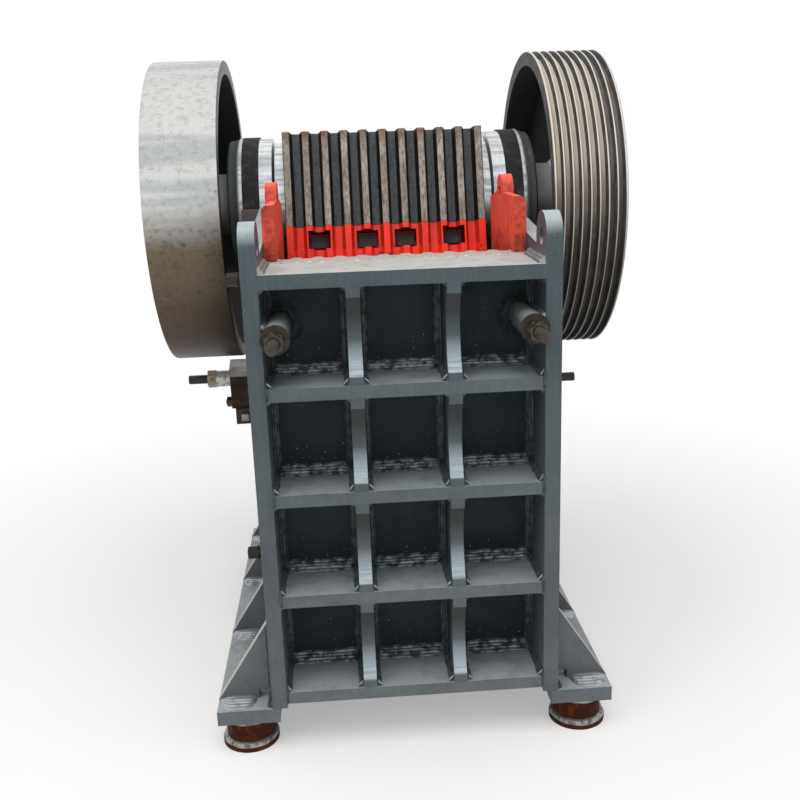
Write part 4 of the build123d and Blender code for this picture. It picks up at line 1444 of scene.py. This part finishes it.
@dataclass
class FrontWall:
    """Front plate, flange, ribs and stiffeners, with the welds that join them."""

    corner: Bead = field(default_factory=lambda: Bead(9.5, 9.5, 0.5, 1, 0.0, 5.0, 0.5))
    seam: Bead = field(default_factory=lambda: Bead(12.0, 13.0, 1.0, 3, 2.0, 5.0, 0.7))
    floor_seam: Bead = field(default_factory=lambda: Bead(22.0, 17.0, 1.0, 4, 3.2, 7.0, 0.7))
    stub: Bead = field(default_factory=lambda: Bead(3.2, 3.2, 1.0, 1, 0.0, 3.0, 0.8))
    upright: Bead = field(default_factory=lambda: Bead(4.0, 3.5, 1.0, 1, 0.0, 4.0, 0.8))

    def columns(self) -> list[tuple[float, float]]:
        """Left and right side of each column of cells."""
        near, far = SIZE.stiff_x - SIZE.stiff_t / 2.0, SIZE.stiff_x + SIZE.stiff_t / 2.0
        return [(-SIZE.inner, -far), (-near, near), (far, SIZE.inner)]

    def rows(self) -> list[tuple[float, float]]:
        """Bottom and top of each row of cells."""
        tops = (SIZE.flange_low,) + tuple(z - SIZE.rib_t for z in SIZE.rib_tops[:-1])
        return list(zip(SIZE.rib_tops, tops))

    def cells(self) -> list[tuple[float, float, float, float]]:
        """Left, right, bottom and top of every cell."""
        return [(x0, x1, z0, z1) for z0, z1 in self.rows() for x0, x1 in self.columns()]

    def build(self) -> None:
        """Fillets in the corners, seams at the back plate, bright ends and spatter."""
        random = np.random.default_rng(31)
        fillets, seams, floors, stubs, uprights = [], [], [], [], []
        spots: list[np.ndarray] = []
        for n, (x0, x1, z0, z1) in enumerate(self.cells()):
            for k, (x, z, a, b) in enumerate(
                ((x0, z0, RIGHT, UP), (x1, z0, LEFT, UP), (x0, z1, RIGHT, DOWN), (x1, z1, LEFT, DOWN))
            ):
                path = line((x, 3.0, z), (x, SIZE.back, z))
                fillets.append(self.corner.along(path, a, b, n + k * 0.3))
            for x, b in ((x0, RIGHT), (x1, LEFT)):
                path = line((x, SIZE.back, z0 + 2.0), (x, SIZE.back, z1 - 2.0))
                seams.append(self.seam.along(path, FORE, b, n * 0.7))
            path = line((x0 + 1.0, SIZE.back, z0), (x1 - 1.0, SIZE.back, z0))
            floors.append(self.floor_seam.along(path, FORE, UP, n * 0.37))
            for x, a in ((x0, RIGHT), (x1, LEFT)):
                foot = np.array((x, 4.0, z0 + 2.0)) + np.array(a) * random.uniform(9.0, 12.0)
                top = np.array((x, 4.0, z0 + random.uniform(10.0, 13.0))) + np.array(a) * 1.5
                stubs.append(self.stub.along(line(foot, top), FORE, UP, n))
            amount = 8
            where = np.stack(
                [
                    random.uniform(x0 + 14.0, x1 - 14.0, amount),
                    np.full(amount, SIZE.back),
                    z0 + 18.0 + random.exponential(26.0, amount).clip(0.0, z1 - z0 - 40.0),
                ],
                axis=1,
            )
            spots.append(where)
        piece("front_corner_fillets", fillets, PAINTED_WELD, Body.FRAME)
        piece("front_back_seams", seams, DARK_WELD, Body.FRAME)
        for side in (-1.0, 1.0):
            for z in SIZE.rib_tops:
                x = side * SIZE.inner
                path = line((x, 1.0, z - SIZE.rib_t + 1.0), (x, 1.0, z + 12.0))
                uprights.append(self.upright.along(path, (-side, 0.0, 0.0), FORE, z))
        piece("front_rib_ends", uprights, DARK_WELD, Body.FRAME)
        piece("front_floor_seams", floors, FLOOR_WELD, Body.FRAME)
        piece("front_seam_ends", stubs, BRIGHT_WELD, Body.FRAME)
        centres = np.concatenate(spots)
        drops = droplets(centres, random.uniform(0.5, 1.3, len(centres)), FORE)
        piece("front_spatter", [drops], SILVER, Body.FRAME)
        dress(
            {
                "front_wall_plate": BACK,
                "front_ribs": CELL,
                "front_stiffeners": STIFFENER,
                "front_top_flange": FLANGE,
            }
        )
        LOG.info("front wall: %d fillets, %d seams", len(fillets), len(seams) + len(floors))


@dataclass
class SideWalls:
    """The two side walls, with the seams at the flange and at the feet."""

    ear_seam: Bead = field(default_factory=lambda: Bead(11.0, 11.0, 1.5, 2, 1.5, 4.0, 1.1))
    foot_seam: Bead = field(default_factory=lambda: Bead(10.0, 10.0, 1.0, 2, 1.2, 5.0, 0.7))

    def build(self) -> None:
        """Seams above the flange and along the foot plates, and the walls' paint."""
        flange = self.ear_seam.along(
            line((SIZE.inner, 4.0, SIZE.flange_top), (SIZE.inner, 145.0, SIZE.flange_top)), LEFT, UP
        )
        foot = self.foot_seam.along(
            line((SIZE.half, 4.0, SIZE.foot_top), (SIZE.half, SIZE.length - 4.0, SIZE.foot_top)), RIGHT, UP
        )
        piece("ear_seams", both_sides([flange]), BRIGHT_WELD, Body.FRAME)
        piece("foot_seams", both_sides([foot]), DARK_WELD, Body.FRAME)
        dress({"side_wall_left": SIDE, "side_wall_right": SIDE})
        LOG.info("side walls")


@dataclass
class Feet:
    """Foot plates, gussets and pipe stubs, with their welds."""

    ys: tuple[float, float] = (53.0, 817.0)
    pipe_x: float = 315.0
    pipe_r: float = 44.5
    ring_top: float = 9.0
    gusset_t: float = 20.0
    gusset_front: float = 42.0
    gusset_step: float = (SIZE.length - 84.0 - 20.0) / 3.0
    base: Bead = field(default_factory=lambda: Bead(15.0, 9.0, 1.0, 3, 1.8, 4.5, 1.0))
    front_base: Bead = field(default_factory=lambda: Bead(36.0, 8.0, 1.5, 5, 2.4, 5.0, 1.6))
    stem: Bead = field(default_factory=lambda: Bead(8.0, 8.0, 1.0, 1, 0.0, 4.5, 0.9))
    ring: Bead = field(default_factory=lambda: Bead(8.0, 8.0, 1.5, 1, 0.0, 5.0, 1.6, closed=True))

    def build(self) -> None:
        """Seams at each gusset's foot and wall, and rings of weld round the pipes."""
        bases, stems, rings = [], [], []
        for k in range(4):
            front = self.gusset_front + k * self.gusset_step
            for y, way in ((front, FORE), (front + self.gusset_t, REAR)):
                start = (SIZE.half + 30.0, y, SIZE.foot_top)
                path = line(start, (SIZE.foot_out - 1.0, y, SIZE.foot_top))
                bead = self.front_base if way is FORE else self.base
                bases.append(bead.along(path, way, UP, k * 1.3))
                path = line((SIZE.half, y, SIZE.foot_top + 20.0), (SIZE.half, y, 238.0))
                stems.append(self.stem.along(path, RIGHT, way, k * 0.6))
        for y in self.ys:
            path, out = circle((self.pipe_x, y, self.ring_top), self.pipe_r)
            rings.append(self.ring.along(path, out, UP, y))
            path, out = circle((self.pipe_x, y, 61.0), self.pipe_r)
            rings.append(self.ring.along(path, out, DOWN, y))
        piece("gusset_base_welds", both_sides(bases), FOOT_WELD, Body.FRAME)
        piece("gusset_wall_welds", both_sides(stems), DARK_WELD, Body.FRAME)
        burnt = WeldMetal(name="weld_pipe", base="#a3a4a0", soot="#2d2723", soot_level=0.45)
        piece("pipe_ring_welds", both_sides(rings), burnt, Body.FRAME)
        pipe = RustySteel(
            name="rusty_pipe", base="#3d1808", dust="#7a3a10", scale="#1f0c06", bright="#6a4a34"
        )
        dress({"foot_plates": FOOT, "foot_gussets": GUSSET, "pipe_feet": pipe})
        LOG.info("feet")


@dataclass
class TieBolts:
    """Two tie bolts: painted sleeves, rusty washers, double nuts and threaded rod ends."""

    x: float = 215.0
    z: float = 787.0
    reach: float = 106.0
    rod_r: float = 10.0
    nut_flat: float = 30.0
    nut_w: float = 16.0
    washer_front: float = -30.0
    rear: float = 180.0
    root: tuple[tuple[float, float], ...] = (
        (118.3, 43.0),
        (116.2, 40.5),
        (117.2, 38.5),
        (114.4, 36.0),
        (116.0, 33.5),
        (112.0, 30.0),
        (113.0, 27.0),
        (108.0, 23.5),
        (118.3, 20.0),
    )
    bead: Bead = field(default_factory=lambda: Bead(9.0, 9.0, 1.5, 1, 0.0, 4.0, 1.2))

    def build(self) -> None:
        """Nuts with turned corners, threaded rods and a weld beside each sleeve."""
        nuts, rods, welds, roots = [], [], [], []
        for side in (-1.0, 1.0):
            x = side * self.x
            roots.append(spun(self.root, (x, 0.0, self.z), "Y", 64))
            for k, turn in ((0, 0.2), (1, 0.45)):
                nut = HexNut(self.nut_flat, self.nut_w, self.rod_r - 0.6, turn + 0.4 * side)
                y = self.washer_front - k * (self.nut_w + 0.5)
                nuts.append(nut.at((x, y, self.z), "Y", -1.0))
            rods.append(Thread(self.rod_r).between((x, -20.0, self.z), 20.0 - self.reach, "Y"))
            bar = [(-20.4, 0.0), (-20.4, self.rod_r - 0.3), (self.rear, self.rod_r - 0.3), (self.rear, 0.0)]
            rods.append(spun(bar, (x, 0.0, self.z), "Y", 32))
            for z, way in ((self.z + 12.5, UP), (self.z - 12.5, DOWN)):
                path = line((side * (SIZE.inner - 0.2), 2.0, z), (side * (SIZE.inner - 0.2), 112.0, z))
                welds.append(self.bead.along(path, (-side, 0.0, 0.0), way, side))
        made = piece("tie_nuts_turned", nuts, NUTS, Body.FRAME, 25.0)
        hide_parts("tie_nuts")
        made = piece("tie_rods_threaded", rods, ROD, Body.FRAME, 25.0)
        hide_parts("tie_rods")
        piece("sleeve_welds", welds, BRIGHT_WELD, Body.FRAME)
        piece("sleeve_root_welds", roots, DARK_WELD, Body.FRAME)
        dress({"tie_sleeves": SLEEVE, "tie_washers": WASHER, "tie_rods": ROD, "tie_nuts": NUTS})
        LOG.info("tie bolts: %d nuts", len(nuts))


@dataclass
class Chamber:
    """Fixed jaw, cheek plates and the swing jaw's wearing plates."""

    seam: Bead = field(default_factory=lambda: Bead(1.5, 0.8, 0.2, 1, 0.0, 2.0, 0.6, seat=Seat.FLAT))

    def build(self) -> None:
        """Stitch weld between flange and fixed jaw, and the wearing plates' finishes."""
        seams = []
        random = np.random.default_rng(7)
        for k, start in enumerate(np.arange(-228.0, 220.0, 15.0)):
            x0 = float(start + random.uniform(0.0, 8.0))
            y0, y1 = random.uniform(140.0, 152.0, 2)
            path = line((x0, y0, SIZE.flange_top), (x0 + random.uniform(2.5, 9.0), y1, SIZE.flange_top))
            seams.append(self.seam.along(path, REAR, UP, k * 0.7))
        crumbs = WeldMetal(name="weld_crumbs", base="#e6e6e2", soot="#3a3733", soot_level=0.5, metal=0.4)
        piece("jaw_stitch_welds", seams, crumbs, Body.FRAME)
        fixed = BareSteel(name="bare_cast_steel", base="#b3afa8", bloom="#a09485", rough=0.6, metal=0.2)
        red = BrushedRed(
            name="brushed_red_jaw", base="#f8301a", worn_level=0.62, grime_share=0.85, window_shade=0.9
        )
        cheek = BrushedRed(
            name="brushed_red_cheek",
            base="#f05a42",
            light="#f8705a",
            dark="#a02a1c",
            grime="#53261f",
            low_dirt=0.85,
            front_shade=0.75,
            grime_share=0.75,
            worn_level=0.6,
            rough=0.5,
        )
        upper = Manganese()
        dress({"fixed_jaw_plate": fixed, "cheek_plates": cheek, "jaw_plate_lower": red})
        dress({"jaw_plate_upper": upper, "cheek_bolts": SCREW})
        LOG.info("chamber")


@dataclass
class Bearings:
    """Housings, bright rings, covers and the barrel between them."""

    def build(self) -> None:
        """Finishes of the bearing pieces and the barrel rings."""
        housing = TurnedSteel(
            name="turned_housing",
            base="#eceeee",
            reflection_band_width=17.0,
            reflection_band_share=0.75,
            damp_low=860.0,
            coat="#191b1a",
            coat_along=266.7,
            coat_end=303.0,
            metal=0.6,
        )
        bright = TurnedSteel(
            name="turned_ring",
            base="#aab1b2",
            damp_low=860.0,
            coat="#3c4042",
            coat_along=313.0,
        )
        cover = SandCasting(name="cover_casting", base="#3f4446", rub="#8d9294", rough=0.5, grain=0.1)
        barrel = TurnedSteel(
            name="turned_barrel",
            base="#eceeee",
            reflection_band_width=17.0,
            reflection_band_share=0.75,
            damp_low=860.0,
            metal=0.6,
            axis_z=SIZE.axis_z - SIZE.ecc,
        )
        seat = SandCasting(name="seat_casting", base="#5d5652", rub="#8b827c")
        dress({"bearing_housings": housing, "bearing_seats": seat, "bearing_rings": bright})
        dress({"bearing_covers": cover, "barrel_rings": barrel})
        LOG.info("bearings")


@dataclass
class Wheels:
    """Flywheel and belt pulley, with finely turned rims in place of the frame's faceted ones."""

    grooves: int = 8
    pitch: float = 18.0
    depth: float = 12.0
    land: float = 2.6
    steps: int = 256

    def flywheel_profile(self) -> list[tuple[float, float]]:
        """Section of the flywheel's rim, with its corners broken.

        Returns:
            Place along X from the machine's middle, and radius, of each point.
        """
        x0, x1, r0, r1 = SIZE.wheel_in, SIZE.wheel_out, SIZE.rim_r, SIZE.wheel_r
        outer = [(x0, r1 - 2.0), (x0 + 0.6, r1 - 0.6), (x0 + 2.0, r1)]
        outer += [(x1 - 2.0, r1), (x1 - 0.6, r1 - 0.6), (x1, r1 - 2.0)]
        return outer + [(x1, r0 + 1.5), (x1 - 1.5, r0), (x0 + 1.5, r0), (x0, r0 + 1.5)]

    def pulley_profile(self) -> list[tuple[float, float]]:
        """Section of the pulley's rim: straight flanks of 18 degrees, corners broken by 0.5 mm.

        Returns:
            Place along X from the machine's middle, and radius, of each point.
        """
        x0, x1, r0, r1 = SIZE.wheel_in, SIZE.wheel_out, SIZE.rim_r, SIZE.wheel_r
        wide, bottom = self.pitch - self.land, r1 - self.depth
        narrow = wide - 2.0 * self.depth * math.tan(math.radians(18.0))
        first = x0 + (x1 - x0 - (self.grooves - 1) * self.pitch) / 2.0
        points = [(x0, r1 - 2.0), (x0 + 2.0, r1)]
        for k in range(self.grooves):
            c = first + k * self.pitch
            points += [(c - wide / 2.0 - 0.3, r1), (c - wide / 2.0 + 0.3, r1 - 0.6)]
            points += [(c - narrow / 2.0 - 0.2, bottom + 0.6), (c - narrow / 2.0 + 0.5, bottom)]
            points += [(c + narrow / 2.0 - 0.5, bottom), (c + narrow / 2.0 + 0.2, bottom + 0.6)]
            points += [(c + wide / 2.0 - 0.3, r1 - 0.6), (c + wide / 2.0 + 0.3, r1)]
        points += [(x1 - 2.0, r1), (x1, r1 - 2.0)]
        return points + [(x1, r0 + 1.5), (x1 - 1.5, r0), (x0 + 1.5, r0), (x0, r0 + 1.5)]

    def build(self) -> None:
        """Spins both rims and dresses hubs, webs, shaft and nuts."""
        centre = (0.0, SIZE.axis_y, SIZE.axis_z)
        fly = mirrored(spun(self.flywheel_profile(), centre, "X", self.steps))
        pulley = spun(self.pulley_profile(), centre, "X", self.steps)
        rim = TurnedSteel(
            name="turned_rim",
            base="#d6d7d4",
            line_share=0.07,
            smudge="#8f8c84",
            smudge_share=0.38,
            blot_share=0.6,
            side="#3a3c3b",
            side_share=0.95,
            inside_r=SIZE.rim_r + 1.5,
            rough=0.42,
        )
        belt = BeltPulley()
        made = piece("flywheel_rim_turned", [fly], rim, Body.ROTOR, 25.0)
        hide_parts("flywheel_rim")
        made = piece("pulley_rim_turned", [pulley], belt, Body.ROTOR, 25.0)
        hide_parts("pulley_rim")
        web = WheelCasting()
        shaft = TurnedSteel(name="turned_shaft", base="#b5b8b8", rough=0.25)
        dress({"flywheel_centre": web, "pulley_centre": web, "eccentric_shaft": shaft, "shaft_nuts": NUTS})
        dress({"flywheel_rim": rim, "pulley_rim": belt})
        LOG.info("wheels: %d grooves", self.grooves)


@dataclass
class Linkage:
    """Pitman, toggle, tension rod and the adjusting wedges with their boxes."""

    box_out: float = 379.0
    bolt_y: float = 702.0

    def box_bolts(self) -> list[Shell]:
        """Hexagon bolt on a box's outer face, and a square-headed clamp bolt below the box.

        Returns:
            Their shells, on the pulley's side.
        """
        head = HexNut(22.0, 13.0, 0.6, math.pi / 6.0)
        shank = [(0.0, 0.0), (0.0, 5.0), (15.0, 5.0), (15.0, 0.0)]
        outer = (self.box_out - 1.0, self.bolt_y, 491.5)
        block = [(337.0, 0.0), (337.0, 27.0), (370.0, 27.0), (370.0, 0.0)]
        shells = [head.at(outer, "X"), spun(shank, outer, "X", 16)]
        return shells + [spun(block, (0.0, self.bolt_y, 458.5), "X", 4, math.pi / 4.0)]

    def build(self) -> None:
        """Bolts of the boxes, and finishes of the moving jaw's body and of the adjuster."""
        nut = [(0.0, 0.0), (0.0, 12.5), (-10.5, 12.5), (-11.5, 11.0), (-11.5, 0.0)]
        square = spun(nut, (347.5, self.bolt_y - 18.6, 458.0), "Y", 4, math.pi / 4.0)
        piece("box_bolts", both_sides(self.box_bolts()), SCREW, Body.FRAME, 25.0)
        piece("box_clamp_nuts", both_sides([square]), BRIGHT_NUT, Body.FRAME, 25.0)
        cast = SandCasting(name="pitman_casting", base="#3c4042")
        barrel = TurnedSteel(
            name="turned_pitman",
            base="#eceeee",
            reflection_band_width=17.0,
            reflection_band_share=0.75,
            damp_low=860.0,
            coat="#34383a",
            coat_radius=151.0,
            metal=0.6,
            axis_z=SIZE.axis_z - SIZE.ecc,
        )
        rust = RustySteel(name="rusty_box", base="#3f3026", dust="#5d4a3a", scale="#241b15")
        top = BareSteel(name="bare_cover", base="#8a8783", bloom="#6d655d", metal=0.3)
        heads = SandCasting(name="bolt_heads", base="#282b2c", oil="#101212", rub="#9ba0a0")
        dress({"pitman": barrel, "pitman_ribs": cast, "jaw_bolts": heads})
        dress({"toggle_plate": cast, "toggle_seat_front": cast, "toggle_block": PLATE})
        dress({"wedge_boxes": rust, "wedge_covers": top, "adjusting_wedges": rust})
        dress({"wedge_screws": AdjusterSteel()})
        dress({"tension_rod": NUTS, "tension_spring": NUTS, "tension_nut": NUTS, "tension_pin": NUTS})
        LOG.info("linkage")


@dataclass
class RearWall:
    """Rear plate and ribs with their seams."""

    face: float = 828.0
    seam: Bead = field(default_factory=lambda: Bead(9.0, 9.0, 1.0, 1, 0.0, 5.0, 0.6))
    rib_zs: tuple[float, ...] = (130.03, 343.0, 550.0, 757.0)

    def build(self) -> None:
        """Seams above and below each rib and at the side walls."""
        seams = []
        x = SIZE.inner - 2.0
        for k, z in enumerate(self.rib_zs):
            top = z + SIZE.rib_t
            seams.append(self.seam.along(line((-x, self.face, top), (x, self.face, top)), REAR, UP, k))
            if k:
                seams.append(self.seam.along(line((-x, self.face, z), (x, self.face, z)), REAR, DOWN, k))
        for side in (-1.0, 1.0):
            for low, high in zip(self.rib_zs[:-1], self.rib_zs[1:]):
                x = side * SIZE.inner
                path = line((x, self.face, low + 25.0), (x, self.face, high - 2.0))
                seams.append(self.seam.along(path, (-side, 0.0, 0.0), REAR, low))
        piece("rear_seams", seams, PAINTED_WELD, Body.FRAME)
        dress({"rear_wall_plate": PLATE, "rear_ribs": PLATE})
        LOG.info("rear wall")


def main() -> None:
    """Builds the studio and every sub-assembly in order, and reports each."""
    logging.basicConfig(level=logging.INFO, format="%(name)s: %(message)s")
    parts = [
        Studio(),
        FrontWall(),
        SideWalls(),
        Feet(),
        TieBolts(),
        Chamber(),
        Bearings(),
        Wheels(),
        Linkage(),
        RearWall(),
    ]
    for part in parts:
        part.build()


if __name__ == "__main__":
    main()
